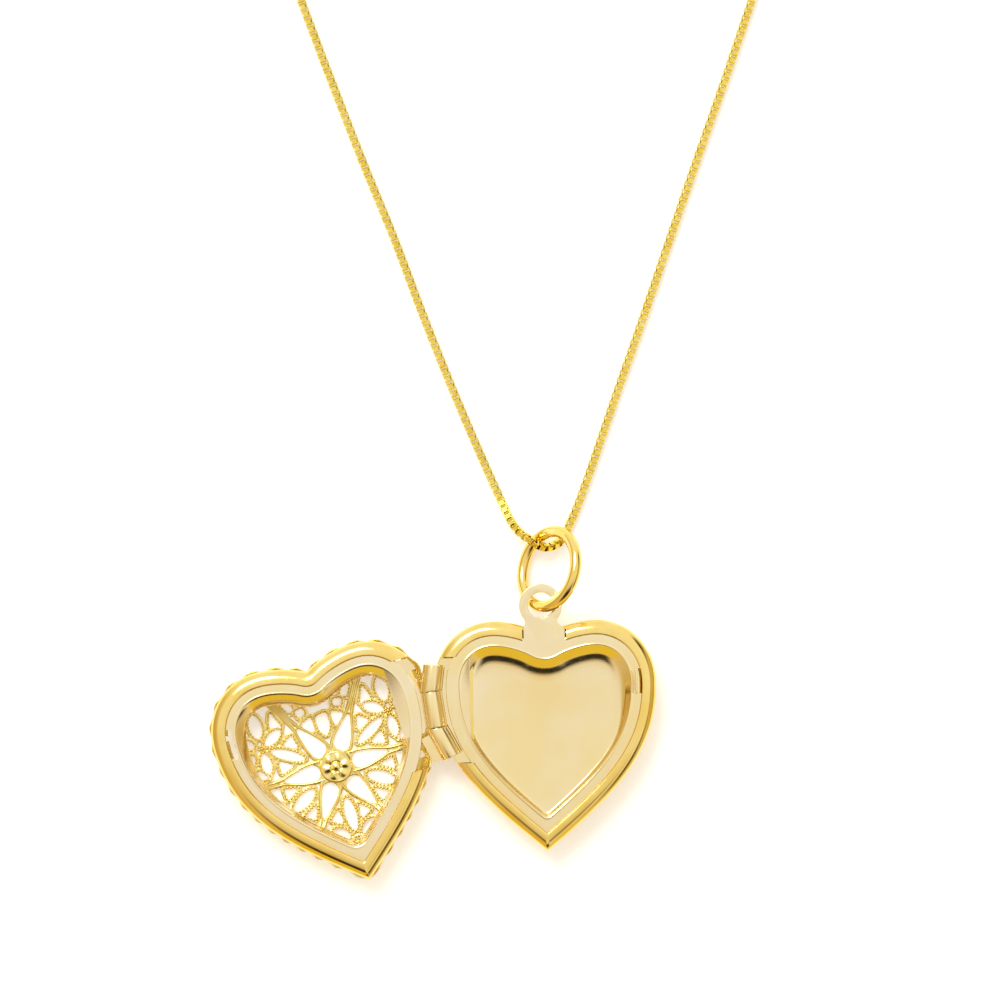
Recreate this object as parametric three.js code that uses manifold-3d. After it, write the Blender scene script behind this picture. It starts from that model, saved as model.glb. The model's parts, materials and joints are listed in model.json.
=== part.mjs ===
// Heart locket necklace, lying open on a table: a solid back half with a heart-shaped photo pan, a
// pierced front half hinged to it, a jump ring in the bail eye, and a box chain whose spare length is
// wound into a tied coil beside its spring-ring clasp.
// Millimetres. +Z is up, the table is z = 0, and the locket faces up.
import * as THREE from 'three';
import { mergeVertices } from 'three/addons/utils/BufferGeometryUtils.js';
import Module from 'manifold-3d';

const wasm = await Module();
wasm.setup();

const rad = THREE.MathUtils.degToRad;

// ---------- Driving dimensions ----------

// The heart outline. Heights are above the tip, on the heart's own axis.
const heart = { halfWidth: 10.7, height: 22.25, lobeX: 4.9, cleftY: 20.9, widestY: 16.1, centreY: 12 };

// Depth of one half, from the parting plane to the table it lies on.
const halfDepth = 3.8;
const sheet = 0.3;

// Where the back half lies, and the lean of its axis to the left.
const backTip = new THREE.Vector2(4.6, -33.8);
const backLean = rad(1);

// The hinge line in a half's own heart frame, on the hinge side, and its lean from the heart's axis.
const hinge = { x: 10.7, y: 13.9, lean: rad(8) };
const knuckle = {
  radius: 1.0, bore: 0.58, pin: 0.45, gap: 0.1, middle: 3.4, upper: 2.5, lower: 3.1,
  leafReach: 1.9, leafThick: 0.22, leafZ: -0.89,
};
const upperBend = rad(15);
const lowerBend = rad(20);
const pinReach = 0.8;

// Bevelled lip of both halves and the plates below it.
const lip = {
  width: 1.4, outerZ: -0.8, crestInset: 1.22, crestZ: -0.04,
  shoulder: [0.12, -0.5], top: [0.6, -0.14],
};
const plate = { inset: 1.12, top: -0.42, bottom: -0.72 };
const pan = { inset: 2.5, floorInset: 3.1, floor: -1.3, tipRadius: 0.6 };
const windowTip = 1.4;
const domeFlatInset = 4.4;

// Bail eye, part of the back plate.
const eye = { x: -0.3, y: 23.7, outer: 2.07, hole: 1.22, neck: 1.55, root: 2.0, lipGap: 2.1 };

// Catch: an ear on the back plate beside a slot, and a notch for it in the front plate.
const catchAt = { y: 16.3, ear: [8.66, 8.88], slot: [8.88, 9.75], notch: [8.55, 9.75], height: 2.4 };
const earTop = 0.75;

// Lip gaps on the hinge side, as spans of height above the tip.
const backGap = [8.3, 18.9];
const frontGap = [8.7, 19.5];

// Pierced cover: six teardrops and six fans round a rosette.
const filigree = {
  centreY: 11.4, outset: 0.2, edgeZ: -1.5, hub: 2.0, rosette: 1.65, arms: 6, borderHoles: 26,
};

// Jump ring through the bail eye: its lean to the right and its tilt off the table.
const pendantRing = { radius: 3.68, wire: 0.56, lean: rad(16), tilt: rad(49), offset: -0.3 };

// Chain, its coil, and the rings at its ends.
const chain = { radius: 0.4, lift: 0.45, steps: 78, sides: 8 };
const coil = { x: -15.5, y: 57.5, outer: 6.64, inner: 2.09, pitch: 0.8, base: 0.25, exit: rad(60) };
const fittingGap = 0.3;
const cap = { length: 1.5, size: 1.05 };
const loop = { radius: 0.65, wire: 0.2, z: 0.85 };
const endRing = { radius: 1.35, wire: 0.25, z: 0.7 };
const clasp = { radius: 2.2, tube: 0.55, bore: 0.34, rod: 0.26, gap: [rad(20), rad(75)], travel: rad(62) };

const gold = { color: 0xe6c878, roughness: 0.2, metalness: 1 };
const paleGold = { color: 0xf0dfae, roughness: 0.18, metalness: 1 };
const chainGold = { color: 0xd9b63c, roughness: 0.3, metalness: 1 };
const steel = { color: 0xc8c8c4, roughness: 0.35, metalness: 1 };
const thread = { color: 0xf3efe4, roughness: 0.9, metalness: 0 };

// ---------- Solids ----------

function toManifold(geometry) {
  const bare = geometry.clone();
  bare.deleteAttribute('normal');
  bare.deleteAttribute('uv');
  const merged = mergeVertices(bare, 1e-4);
  return new wasm.Manifold(new wasm.Mesh({
    numProp: 3,
    vertProperties: Float32Array.from(merged.attributes.position.array),
    triVerts: Uint32Array.from(merged.index.array),
  }));
}

function toGeometry(manifold) {
  const mesh = manifold.getMesh();
  const geometry = new THREE.BufferGeometry();
  geometry.setAttribute('position', new THREE.BufferAttribute(mesh.vertProperties, 3));
  geometry.setIndex(new THREE.BufferAttribute(mesh.triVerts, 1));
  return geometry;
}

function subtract(solid, ...cutters) {
  return cutters.reduce((rest, cutter) => rest.subtract(cutter), solid);
}

function box(x, y, z) {
  const geometry = new THREE.BoxGeometry(x[1] - x[0], y[1] - y[0], z[1] - z[0]);
  geometry.translate((x[0] + x[1]) / 2, (y[0] + y[1]) / 2, (z[0] + z[1]) / 2);
  return toManifold(geometry);
}

// A flat shape made solid between two heights.
function slab(shape, low, high, segments = 6) {
  const geometry = new THREE.ExtrudeGeometry(shape, {
    depth: high - low, bevelEnabled: false, curveSegments: segments,
  });
  geometry.translate(0, 0, low);
  return toManifold(geometry);
}

// A round bar from a point along a direction.
function bar(start, direction, length, radius, segments = 24) {
  const geometry = new THREE.CylinderGeometry(radius, radius, length, segments);
  geometry.translate(0, length / 2, 0);
  const turn = new THREE.Quaternion().setFromUnitVectors(new THREE.Vector3(0, 1, 0), direction);
  geometry.applyQuaternion(turn);
  geometry.translate(start.x, start.y, start.z);
  return toManifold(geometry);
}

function piece(name, solid, look) {
  const geometry = solid.isBufferGeometry ? solid : toGeometry(solid);
  const mesh = new THREE.Mesh(geometry, new THREE.MeshStandardMaterial(look));
  mesh.name = name;
  return mesh;
}

// ---------- The heart outline and its insets ----------

// Right half of the outline, cleft to tip, with the inward normal at each sample.
function sampleHalfHeart() {
  const { halfWidth: w, height: h, lobeX, cleftY, widestY } = heart;
  const at = (x, y) => new THREE.Vector2(x, y);
  const curves = [
    new THREE.CubicBezierCurve(at(0, cleftY), at(1.2, cleftY + 0.7), at(lobeX - 1.7, h), at(lobeX, h)),
    new THREE.CubicBezierCurve(at(lobeX, h), at(lobeX + 3.2, h), at(w, widestY + 3.6), at(w, widestY)),
    new THREE.CubicBezierCurve(at(w, widestY), at(w, 8.9), at(6.1, 5.1), at(0, 0)),
  ];
  const perCurve = 20;
  return curves.flatMap((curve, index) => {
    const samples = [];
    for (let i = index === 0 ? 0 : 1; i <= perCurve; i += 1) {
      const tangent = curve.getTangent(i / perCurve);
      samples.push({ point: curve.getPoint(i / perCurve), normal: at(tangent.y, -tangent.x) });
    }
    return samples;
  });
}

const halfHeart = sampleHalfHeart();

// Half outline moved inward by inset, with its tip rounded to tipRadius.
function insetHalf(inset, tipRadius) {
  const core = inset + tipRadius;
  const out = [];
  const add = (x, y, normal) => {
    out.push(new THREE.Vector2(x - tipRadius * normal.x, y - tipRadius * normal.y));
  };
  const fan = 5;
  const cleftTurn = Math.atan2(halfHeart[0].normal.y, halfHeart[0].normal.x);
  if (core > 0) {
    for (let i = 0; i < fan; i += 1) {
      const angle = -Math.PI / 2 + (cleftTurn + Math.PI / 2) * (i / fan);
      const normal = new THREE.Vector2(Math.cos(angle), Math.sin(angle));
      add(core * normal.x, heart.cleftY + core * normal.y, normal);
    }
  }
  let last = null;
  for (const { point, normal } of halfHeart) {
    const x = point.x + core * normal.x;
    const y = point.y + core * normal.y;
    if (x < 0 && last) {
      const t = last.x / (last.x - x);
      add(0, last.y + (y - last.y) * t, normal);
      last = { x: 0, y, normal };
      break;
    }
    if (x >= 0) {
      add(x, y, normal);
      last = { x, y, normal };
    }
  }
  const side = last.normal;
  if (last.x > 0) {
    out.push(new THREE.Vector2(0, last.y - last.x * (-side.x / side.y)));
  }
  const tip = out[out.length - 1].clone().addScaledVector(side, tipRadius);
  const sideTurn = Math.atan2(side.y, side.x);
  for (let i = 1; tipRadius > 0 && i <= fan; i += 1) {
    const angle = sideTurn + (Math.PI / 2 - sideTurn) * (i / fan);
    out.push(new THREE.Vector2(tip.x - tipRadius * Math.cos(angle), tip.y - tipRadius * Math.sin(angle)));
  }
  out[0].x = 0;
  out[out.length - 1].x = 0;
  return out;
}

// Points spaced evenly along a polyline.
function evenly(line, count) {
  const lengths = [0];
  for (let i = 1; i < line.length; i += 1) {
    lengths.push(lengths[i - 1] + line[i].distanceTo(line[i - 1]));
  }
  const out = [];
  let k = 1;
  for (let i = 0; i <= count; i += 1) {
    const target = lengths[lengths.length - 1] * (i / count);
    while (k < line.length - 1 && lengths[k] < target) k += 1;
    const t = (target - lengths[k - 1]) / (lengths[k] - lengths[k - 1] || 1);
    out.push(line[k - 1].clone().lerp(line[k], Math.min(1, t)));
  }
  return out;
}

// The whole closed outline, 2 * count points, clockwise from the cleft.
function heartRing(inset, tipRadius, count) {
  const half = evenly(insetHalf(inset, tipRadius), count);
  const mirrored = half.slice(1, -1).reverse().map((p) => new THREE.Vector2(-p.x, p.y));
  return [...half, ...mirrored];
}

// A heart-shaped solid from a section of [inset, z, tipRadius] corners. A closed section makes a frame;
// an open one makes a dish or dome, closed with flat hearts at both ends.
function loft(section, closed, count = 32) {
  const rings = section.map(([inset, z, tipRadius = 0]) => (
    heartRing(inset, tipRadius, count).map((p) => [p.x, p.y, z])));
  const size = rings[0].length;
  const positions = rings.flat();
  const index = [];
  const last = rings.length - 1;
  for (let r = 0; r < (closed ? rings.length : last); r += 1) {
    const next = (r + 1) % rings.length;
    for (let i = 0; i < size; i += 1) {
      const j = (i + 1) % size;
      const [a, b, c, d] = [r * size + i, r * size + j, next * size + j, next * size + i];
      index.push(a, b, c, a, c, d);
    }
  }
  if (!closed) {
    for (const [ring, flip] of [[0, true], [last, false]]) {
      const centre = positions.length;
      positions.push([0, heart.centreY, section[ring][1]]);
      for (let i = 0; i < size; i += 1) {
        const j = (i + 1) % size;
        const [a, b] = [ring * size + i, ring * size + j];
        index.push(...(flip ? [centre, b, a] : [centre, a, b]));
      }
    }
  }
  const geometry = new THREE.BufferGeometry();
  geometry.setAttribute('position', new THREE.BufferAttribute(Float32Array.from(positions.flat()), 3));
  geometry.setIndex(facingOut(index, positions));
  return toManifold(geometry);
}

// The triangles turned so that the volume inside them is positive.
function facingOut(index, positions) {
  let volume = 0;
  for (let i = 0; i < index.length; i += 3) {
    const [a, b, c] = [positions[index[i]], positions[index[i + 1]], positions[index[i + 2]]];
    volume += a[0] * (b[1] * c[2] - b[2] * c[1]) + a[1] * (b[2] * c[0] - b[0] * c[2])
      + a[2] * (b[0] * c[1] - b[1] * c[0]);
  }
  return volume > 0 ? index : index.reverse();
}

// ---------- Hinge ----------

const upZ = new THREE.Vector3(0, 0, 1);
const upY = new THREE.Vector3(0, 1, 0);

// The hinge line in a half's own frame; side is -1 for the back half and 1 for the front.
function hingeLine(side) {
  const up = new THREE.Vector3(side * Math.sin(hinge.lean), Math.cos(hinge.lean), 0);
  return { at: new THREE.Vector3(side * hinge.x, hinge.y, 0), up };
}

// The leaf that joins a knuckle to its plate, running inward under the plate's edge.
function leafSolid(side, start, direction, length) {
  const margin = 0.25;
  const leaf = new THREE.BoxGeometry(knuckle.leafReach, length - 2 * margin, knuckle.leafThick);
  leaf.translate(-side * knuckle.leafReach / 2, length / 2, knuckle.leafZ);
  leaf.applyQuaternion(new THREE.Quaternion().setFromUnitVectors(upY, direction));
  leaf.translate(start.x, start.y, 0);
  return toManifold(leaf);
}

// A block that trims a knuckle square to the hinge line, on the middle knuckle's side of the joint.
function trimBlock(joint, up, end) {
  const block = new THREE.BoxGeometry(6, 3, 3);
  block.translate(0, -end * 1.5, 0);
  block.applyQuaternion(new THREE.Quaternion().setFromUnitVectors(upY, up));
  block.translate(joint.x, joint.y, joint.z);
  return toManifold(block);
}

// An outer knuckle: a tube rolled from the back plate, bent from the hinge line to follow the outline.
function outerKnuckle(end, length, bend) {
  const { at, up } = hingeLine(-1);
  const joint = at.clone().addScaledVector(up, end * (knuckle.middle / 2 + knuckle.gap));
  const direction = up.clone().multiplyScalar(end).applyAxisAngle(upZ, -end * bend);
  const runUp = 0.6;
  const mouth = 0.9;
  const tubeStart = joint.clone().addScaledVector(direction, -runUp);
  const tube = bar(tubeStart, direction, length + runUp, knuckle.radius);
  const leaf = leafSolid(-1, joint, direction, length);
  const mouthStart = joint.clone().addScaledVector(direction, length - mouth);
  const freeBore = bar(mouthStart, direction, mouth + 0.1, knuckle.bore);
  const pinSide = up.clone().multiplyScalar(end);
  const pinStart = joint.clone().addScaledVector(pinSide, -1);
  const pinBore = bar(pinStart, pinSide, 1 + pinReach + 0.2, knuckle.bore);
  return subtract(tube.add(leaf), trimBlock(joint, up, end), freeBore, pinBore);
}

function middleKnuckle() {
  const { at, up } = hingeLine(1);
  const start = at.clone().addScaledVector(up, -knuckle.middle / 2);
  const tube = bar(start, up, knuckle.middle, knuckle.radius);
  const leaf = leafSolid(1, start, up, knuckle.middle);
  const bore = bar(start.clone().addScaledVector(up, -0.5), up, knuckle.middle + 1, knuckle.bore);
  return subtract(tube.add(leaf), bore);
}

function hingePin() {
  const { at, up } = hingeLine(-1);
  const length = knuckle.middle + 2 * (knuckle.gap + pinReach);
  return bar(at.clone().addScaledVector(up, -length / 2), up, length, knuckle.pin);
}

// A strip of plate that reaches out to the knuckles where the lip stops.
function hingeFlange(side, span) {
  const edge = new THREE.Shape(heartRing(0.2, 0, 40));
  const inner = heart.halfWidth - plate.inset - 0.8;
  const strip = side > 0 ? [inner, 14] : [-14, -inner];
  return slab(edge, plate.bottom + 0.03, plate.top - 0.03).intersect(box(strip, span, [-2, 1]));
}

// Room for the knuckles along the hinge line.
function hingeRoom(side, clear = 0.12) {
  const { at, up } = hingeLine(side);
  const length = knuckle.middle + knuckle.upper + knuckle.lower;
  const start = at.clone().addScaledVector(up, -knuckle.middle / 2 - knuckle.lower);
  return bar(start, up, length, knuckle.radius + clear);
}

// Room for the outer knuckles, which bend away from the hinge line.
function bentRoom(side) {
  const { at, up } = hingeLine(side);
  const clear = 0.12;
  const ends = [[1, knuckle.upper, upperBend], [-1, knuckle.lower, lowerBend]];
  const [upper, lower] = ends.map(([end, length, bend]) => {
    const start = at.clone().addScaledVector(up, end * (knuckle.middle / 2));
    const direction = up.clone().multiplyScalar(end).applyAxisAngle(upZ, side * end * bend);
    return bar(start, direction, length + 0.3, knuckle.radius + clear);
  });
  return upper.add(lower);
}

// ---------- Back half ----------

function backShell() {
  const dome = [
    [domeFlatInset, -halfDepth], [3.1, -3.64], [1.7, -3.15], [0.7, -2.4], [0.15, -1.6], [0, lip.outerZ],
    lip.shoulder, lip.top, [lip.crestInset, lip.crestZ], [lip.width, -0.08], [lip.width, -0.26],
    [0.8, -0.42], [0.36, -0.86], [0.45, -1.53], [0.95, -2.24], [1.88, -2.9], [3.2, -3.34],
    [domeFlatInset, sheet - halfDepth],
  ];
  const above = [-1.1, 1];
  return subtract(
    loft(dome, false),
    box([-14, -6.5], backGap, above),
    box([-eye.lipGap, eye.lipGap], [18.6, 24], above),
    box([-0.15, 0.15], [-1, 1.2], [-0.6, 1]),
  );
}

function bailTab() {
  const shape = new THREE.Shape();
  const open = Math.asin(eye.neck / eye.outer);
  const joinY = eye.y - eye.outer * Math.cos(open);
  const rootY = 21.1;
  shape.moveTo(-eye.root, 19.3);
  shape.lineTo(-eye.root, rootY);
  shape.lineTo(eye.x - eye.neck, joinY - 0.15);
  shape.absarc(eye.x, eye.y, eye.outer, 1.5 * Math.PI - open, -0.5 * Math.PI + open, true);
  shape.lineTo(eye.x + eye.neck, joinY - 0.15);
  shape.lineTo(eye.root, rootY);
  shape.lineTo(eye.root, 19.3);
  const hole = new THREE.Path();
  hole.absarc(eye.x, eye.y, eye.hole, 0, 2 * Math.PI, false);
  shape.holes.push(hole);
  const step = 0.02;
  return slab(shape, plate.bottom + step, plate.top - step, 16);
}

function backPlate() {
  const { inset, floorInset, floor, tipRadius } = pan;
  const section = [
    [domeFlatInset, floor - sheet], [floorInset - 0.1, floor - sheet, 0.5], [inset + 0.1, floor - 0.15, 0.6],
    [inset - 0.12, plate.bottom, tipRadius], [plate.inset, plate.bottom, 0.2], [plate.inset, plate.top, 0.2],
    [inset, plate.top, tipRadius], [inset + 0.13, plate.top - 0.1, tipRadius],
    [inset + 0.35, floor + 0.1, 0.6], [floorInset, floor, 0.5], [domeFlatInset, floor],
  ];
  const { y, ear, slot, height } = catchAt;
  const span = [y - height / 2, y + height / 2];
  const flange = hingeFlange(-1, [backGap[0] + 0.15, backGap[1] - 0.15]);
  const plateWithTab = loft(section, false).add(bailTab()).add(flange);
  const slotted = subtract(plateWithTab, box(slot, span, [-2, 1]), hingeRoom(-1), bentRoom(-1));
  return slotted.add(box(ear, span, [plate.bottom + 0.02, earTop]));
}

// ---------- Front half ----------

function frontRim() {
  const section = [
    [0, lip.outerZ], lip.shoulder, lip.top, [lip.crestInset, lip.crestZ],
    [lip.width, -0.08], [lip.width, -0.26], [0.8, -0.42], [0.36, -0.86],
    [0.3, filigree.edgeZ + 0.05], [0, filigree.edgeZ + 0.05],
  ];
  return subtract(
    loft(section, true),
    box([6.5, 14], frontGap, [-3, 1]),
    box([-0.1, 0.1], [-1, 1.2], [-0.6, 1]),
  );
}

function frontPlate() {
  const flangeFoot = -1.4;
  const { inset } = pan;
  const tipRadius = windowTip;
  const section = [
    [plate.inset, plate.bottom, 0.2], [plate.inset, plate.top, 0.2], [inset - 0.15, plate.top, tipRadius],
    [inset + 0.1, plate.top - 0.12, tipRadius], [inset + 0.4, flangeFoot, tipRadius],
    [inset + 0.15, flangeFoot, tipRadius], [inset - 0.12, plate.bottom, tipRadius],
  ];
  const { y, notch, height } = catchAt;
  const notchBox = box([-notch[1], -notch[0]], [y - height / 2 - 0.3, y + height / 2 + 0.3], [-1, 1]);
  const flange = hingeFlange(1, [12, frontGap[1] - 0.15]);
  return subtract(loft(section, true).add(flange), notchBox, hingeRoom(1), bentRoom(1));
}

// Distance from the rosette's centre to the inset outline along a direction.
function reach(angle, inset) {
  const ring = heartRing(inset, 0, 60);
  const ray = new THREE.Vector2(Math.cos(angle), Math.sin(angle));
  const centre = new THREE.Vector2(0, filigree.centreY);
  let nearest = Infinity;
  ring.forEach((from, i) => {
    const a = from.clone().sub(centre);
    const edge = ring[(i + 1) % ring.length].clone().sub(from);
    const across = ray.cross(edge);
    const along = a.cross(edge) / across;
    const t = a.cross(ray) / across;
    if (along > 0 && t >= 0 && t <= 1) nearest = Math.min(nearest, along);
  });
  return nearest;
}

// A hole through the pierced cover, drawn with the rosette at the origin and turned by an angle.
function pierce(shape, angle) {
  const geometry = new THREE.ExtrudeGeometry(shape, { depth: 3, bevelEnabled: false, curveSegments: 4 });
  geometry.rotateZ(angle);
  geometry.translate(0, filigree.centreY, -halfDepth - 1);
  return toManifold(geometry);
}

function teardrop(from, to, halfWidth) {
  const shape = new THREE.Shape();
  const neck = from + halfWidth;
  shape.moveTo(to, 0);
  shape.quadraticCurveTo(neck + (to - neck) * 0.5, halfWidth * 0.75, neck, halfWidth);
  shape.absarc(neck, 0, halfWidth, Math.PI / 2, 1.5 * Math.PI, false);
  shape.quadraticCurveTo(neck + (to - neck) * 0.5, -halfWidth * 0.75, to, 0);
  return shape;
}

function leafShape(from, to, width) {
  const shape = new THREE.Shape();
  shape.moveTo(from, 0);
  shape.quadraticCurveTo((from + to) / 2, width, to, 0);
  shape.quadraticCurveTo((from + to) / 2, -width, from, 0);
  return shape;
}

function ovalShape(x, y, long, short, turn) {
  const shape = new THREE.Shape();
  shape.absellipse(x, y, long / 2, short / 2, 0, 2 * Math.PI, false, turn);
  return shape;
}

// Holes of one fan: a leaf on its middle line, and a triangle and an oval on each side of it.
function fanHoles(angle) {
  const limit = reach(angle, 3.3);
  const holes = [pierce(leafShape(3.0, limit, 0.95), angle)];
  for (const side of [-1, 1]) {
    const triangle = new THREE.Shape();
    const from = limit * 0.55;
    const to = limit * 0.78;
    triangle.moveTo(from, side * 0.95);
    triangle.lineTo(to, side * 0.85);
    triangle.lineTo(to - 0.2, side * to * 0.4);
    holes.push(pierce(triangle, angle));
    holes.push(pierce(ovalShape(limit - 0.6, side * (limit * 0.3), 2.0, 0.8, side * rad(125)), angle));
  }
  return holes;
}

// Holes round the border, each pointing outward.
function borderHoles() {
  const ring = heartRing(1.75, 0, filigree.borderHoles);
  return ring.filter((_, i) => i % 2 === 1).map((p, i, all) => {
    const before = all[(i + all.length - 1) % all.length];
    const after = all[(i + 1) % all.length];
    const turn = Math.atan2(after.y - before.y, after.x - before.x) + Math.PI / 2;
    return pierce(ovalShape(p.x, p.y - filigree.centreY, 1.4, 0.9, turn), 0);
  });
}

function filigreeCover() {
  const section = [
    [domeFlatInset, -halfDepth], [3.1, -3.62], [1.6, -3.1], [0.4, -2.35], [-filigree.outset, -1.8],
    [-filigree.outset, filigree.edgeZ], [0.12, filigree.edgeZ], [0.2, -1.7], [0.68, -2.15],
    [1.78, -2.83], [3.2, -3.3], [domeFlatInset, -3.46],
  ];
  const holes = borderHoles();
  for (let arm = 0; arm < filigree.arms; arm += 1) {
    const angle = (arm / filigree.arms) * 2 * Math.PI;
    const tip = Math.min(5.2, reach(angle, 3.0) - 0.5);
    holes.push(pierce(teardrop(filigree.hub, tip, 0.75), angle));
    holes.push(...fanHoles(angle + Math.PI / filigree.arms));
  }
  const swingRoom = 0.95;
  return subtract(loft(section, false, 20), ...holes, hingeRoom(1, swingRoom));
}

function rosette() {
  const { rosette: r } = filigree;
  const z = 0.37 - halfDepth;
  const profile = [[0, z], [r, z], [r, z + 0.2], [r * 0.75, z + 0.42], [0, z + 0.55]];
  const geometry = new THREE.LatheGeometry(profile.map(([x, y]) => new THREE.Vector2(x, y)), 24);
  geometry.rotateX(Math.PI / 2);
  geometry.translate(0, filigree.centreY, 0);
  return toManifold(geometry);
}

// ---------- Jump ring in the bail eye ----------

const toDesign = new THREE.Matrix4().makeRotationZ(backLean).setPosition(backTip.x, backTip.y, halfDepth);

function pendantRingMesh() {
  const { radius, wire, lean, tilt, offset } = pendantRing;
  const midPlate = (plate.top + plate.bottom) / 2;
  const eyeCentre = new THREE.Vector3(eye.x + offset, eye.y, midPlate).applyMatrix4(toDesign);
  const along = new THREE.Vector3(Math.sin(lean), Math.cos(lean), 0);
  const flat = Math.cos(tilt);
  const across = new THREE.Vector3(Math.cos(lean) * flat, -Math.sin(lean) * flat, Math.sin(tilt));
  const centreZ = radius * Math.sin(tilt) + wire + 0.02;
  const sine = (eyeCentre.z - centreZ) / (radius * Math.sin(tilt));
  const cosine = -Math.sqrt(1 - sine * sine);
  const centre = eyeCentre.clone()
    .addScaledVector(along, -radius * cosine)
    .addScaledVector(across, -radius * sine);
  const normal = new THREE.Vector3().crossVectors(across, along);
  const geometry = new THREE.TorusGeometry(radius, wire, 12, 40);
  geometry.applyMatrix4(new THREE.Matrix4().makeBasis(across, along, normal));
  const mesh = piece('pendant_ring', toManifold(geometry), gold);
  mesh.position.copy(centre);
  return mesh;
}

// ---------- Chain ----------

// The chain from its end cap down the right strand, through the ring, and up the left strand.
const floorZ = chain.lift;
const route = [
  [25.35, 51.4, floorZ], [24.2, 48.0, floorZ], [21.6, 40.3, floorZ], [18.9, 32.6, floorZ],
  [16.3, 25.0, floorZ], [13.7, 17.3, floorZ], [11.0, 9.6, floorZ], [8.4, 2.0, floorZ],
  [7.2, -1.2, floorZ], [6.6, -2.55, 0.5], [6.05, -3.65, 0.7], [5.4, -4.3, 1.15], [4.6, -4.55, 1.65],
  [3.8, -4.4, 2.1], [3.1, -3.95, 2.3], [2.4, -3.5, 2.2], [1.7, -2.9, 1.9], [1.05, -2.0, 1.4],
  [0.2, -0.2, 0.75], [-0.9, 2.2, floorZ], [-4.1, 9.6, floorZ], [-7.2, 17.3, floorZ], [-10.1, 25.0, floorZ],
  [-13.2, 32.6, floorZ], [-16.2, 40.3, floorZ], [-19.1, 48.0, floorZ], [-20.35, 51.4, floorZ],
];

function cordTube(points, steps) {
  const section = new THREE.Shape();
  for (let i = 0; i < chain.sides; i += 1) {
    const angle = ((i + 0.5) / chain.sides) * 2 * Math.PI;
    const [x, y] = [chain.radius * Math.cos(angle), chain.radius * Math.sin(angle)];
    if (i === 0) section.moveTo(x, y);
    else section.lineTo(x, y);
  }
  const spots = points.map((p) => new THREE.Vector3(...p));
  const curve = new THREE.CatmullRomCurve3(spots, false, 'centripetal');
  return toManifold(new THREE.ExtrudeGeometry(section, { steps, bevelEnabled: false, extrudePath: curve }));
}

// The coil's two layers, as one ring of its outer shape.
function coilSolid() {
  const inner = coil.inner - chain.radius;
  const outer = coil.outer + chain.radius;
  const top = coil.base + 4 * chain.radius;
  const soft = 0.3;
  const profile = [
    [inner, coil.base + soft], [inner + soft, coil.base], [outer - soft, coil.base], [outer, coil.base + soft],
    [outer, top - soft], [outer - soft, top], [inner + soft, top], [inner, top - soft],
    [inner, coil.base + soft],
  ];
  const geometry = new THREE.LatheGeometry(profile.map(([x, y]) => new THREE.Vector2(x, y)), 40);
  geometry.rotateX(Math.PI / 2);
  geometry.translate(coil.x, coil.y, 0);
  return toManifold(geometry);
}

// A thread band round the coil's turns.
function coilTie() {
  const clear = 0.13;
  const thick = 0.12;
  const width = 1.0;
  const near = coil.inner - chain.radius - clear;
  const far = coil.outer + chain.radius + clear;
  const [low, high] = [coil.base - 0.06, coil.base + 4 * chain.radius + clear];
  const band = new THREE.Shape();
  band.moveTo(near - thick, low - thick);
  band.lineTo(far + thick, low - thick);
  band.lineTo(far + thick, high + thick);
  band.lineTo(near - thick, high + thick);
  const hole = new THREE.Path();
  hole.moveTo(near, low);
  hole.lineTo(near, high);
  hole.lineTo(far, high);
  hole.lineTo(far, low);
  band.holes.push(hole);
  const geometry = new THREE.ExtrudeGeometry(band, { depth: width, bevelEnabled: false });
  geometry.translate(0, 0, -width / 2);
  geometry.rotateX(Math.PI / 2);
  geometry.rotateZ(rad(-70));
  geometry.translate(coil.x, coil.y, 0);
  return toManifold(geometry);
}

// The chain's last stretch, tangentially off the coil and down to the clasp's cap.
const exitPoint = new THREE.Vector2(
  coil.x + coil.outer * Math.cos(coil.exit),
  coil.y + coil.outer * Math.sin(coil.exit),
);
const exitWay = new THREE.Vector2(Math.sin(coil.exit), -Math.cos(coil.exit));
const capZ = 0.58;

function tailPoint(distance, z) {
  return [exitPoint.x + exitWay.x * distance, exitPoint.y + exitWay.y * distance, z];
}

// ---------- End fittings, drawn along +X from the chain's end ----------

function loopSolid(x, z) {
  const geometry = new THREE.TorusGeometry(loop.radius, loop.wire, 8, 16);
  geometry.rotateX(Math.PI / 2);
  geometry.translate(x, 0, z);
  return toManifold(geometry);
}

const loopX = cap.length + loop.radius - 0.15;
const ringX = loopX + endRing.radius;
const farX = ringX + endRing.radius;
const claspX = farX + loop.radius + loop.wire + clasp.radius + clasp.tube - 0.25;
const claspZ = clasp.tube + 0.02;

function endCap() {
  const half = cap.size / 2;
  return box([0, cap.length], [-half, half], [capZ - half, capZ + half]).add(loopSolid(loopX, loop.z));
}

function endRingMesh(name, droop) {
  const geometry = new THREE.TorusGeometry(endRing.radius, endRing.wire, 8, 20);
  geometry.translate(endRing.radius, 0, 0);
  geometry.rotateY(droop);
  geometry.translate(loopX, 0, endRing.z);
  return piece(name, toManifold(geometry), gold);
}

class Arc extends THREE.Curve {
  constructor(radius, from, to) {
    super();
    Object.assign(this, { radius, from, to });
  }

  getPoint(t, target = new THREE.Vector3()) {
    const angle = this.from + (this.to - this.from) * t;
    return target.set(this.radius * Math.cos(angle), this.radius * Math.sin(angle), 0);
  }
}

function arcRod(from, to, radius, steps, bore = 0) {
  const section = new THREE.Shape();
  section.absarc(0, 0, radius, 0, 2 * Math.PI, false);
  if (bore > 0) {
    const hole = new THREE.Path();
    hole.absarc(0, 0, bore, 0, 2 * Math.PI, true);
    section.holes.push(hole);
  }
  const extrudePath = new Arc(clasp.radius, from, to);
  return toManifold(new THREE.ExtrudeGeometry(section, {
    steps, bevelEnabled: false, curveSegments: 5, extrudePath,
  }));
}

const knobAngle = rad(100);

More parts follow.
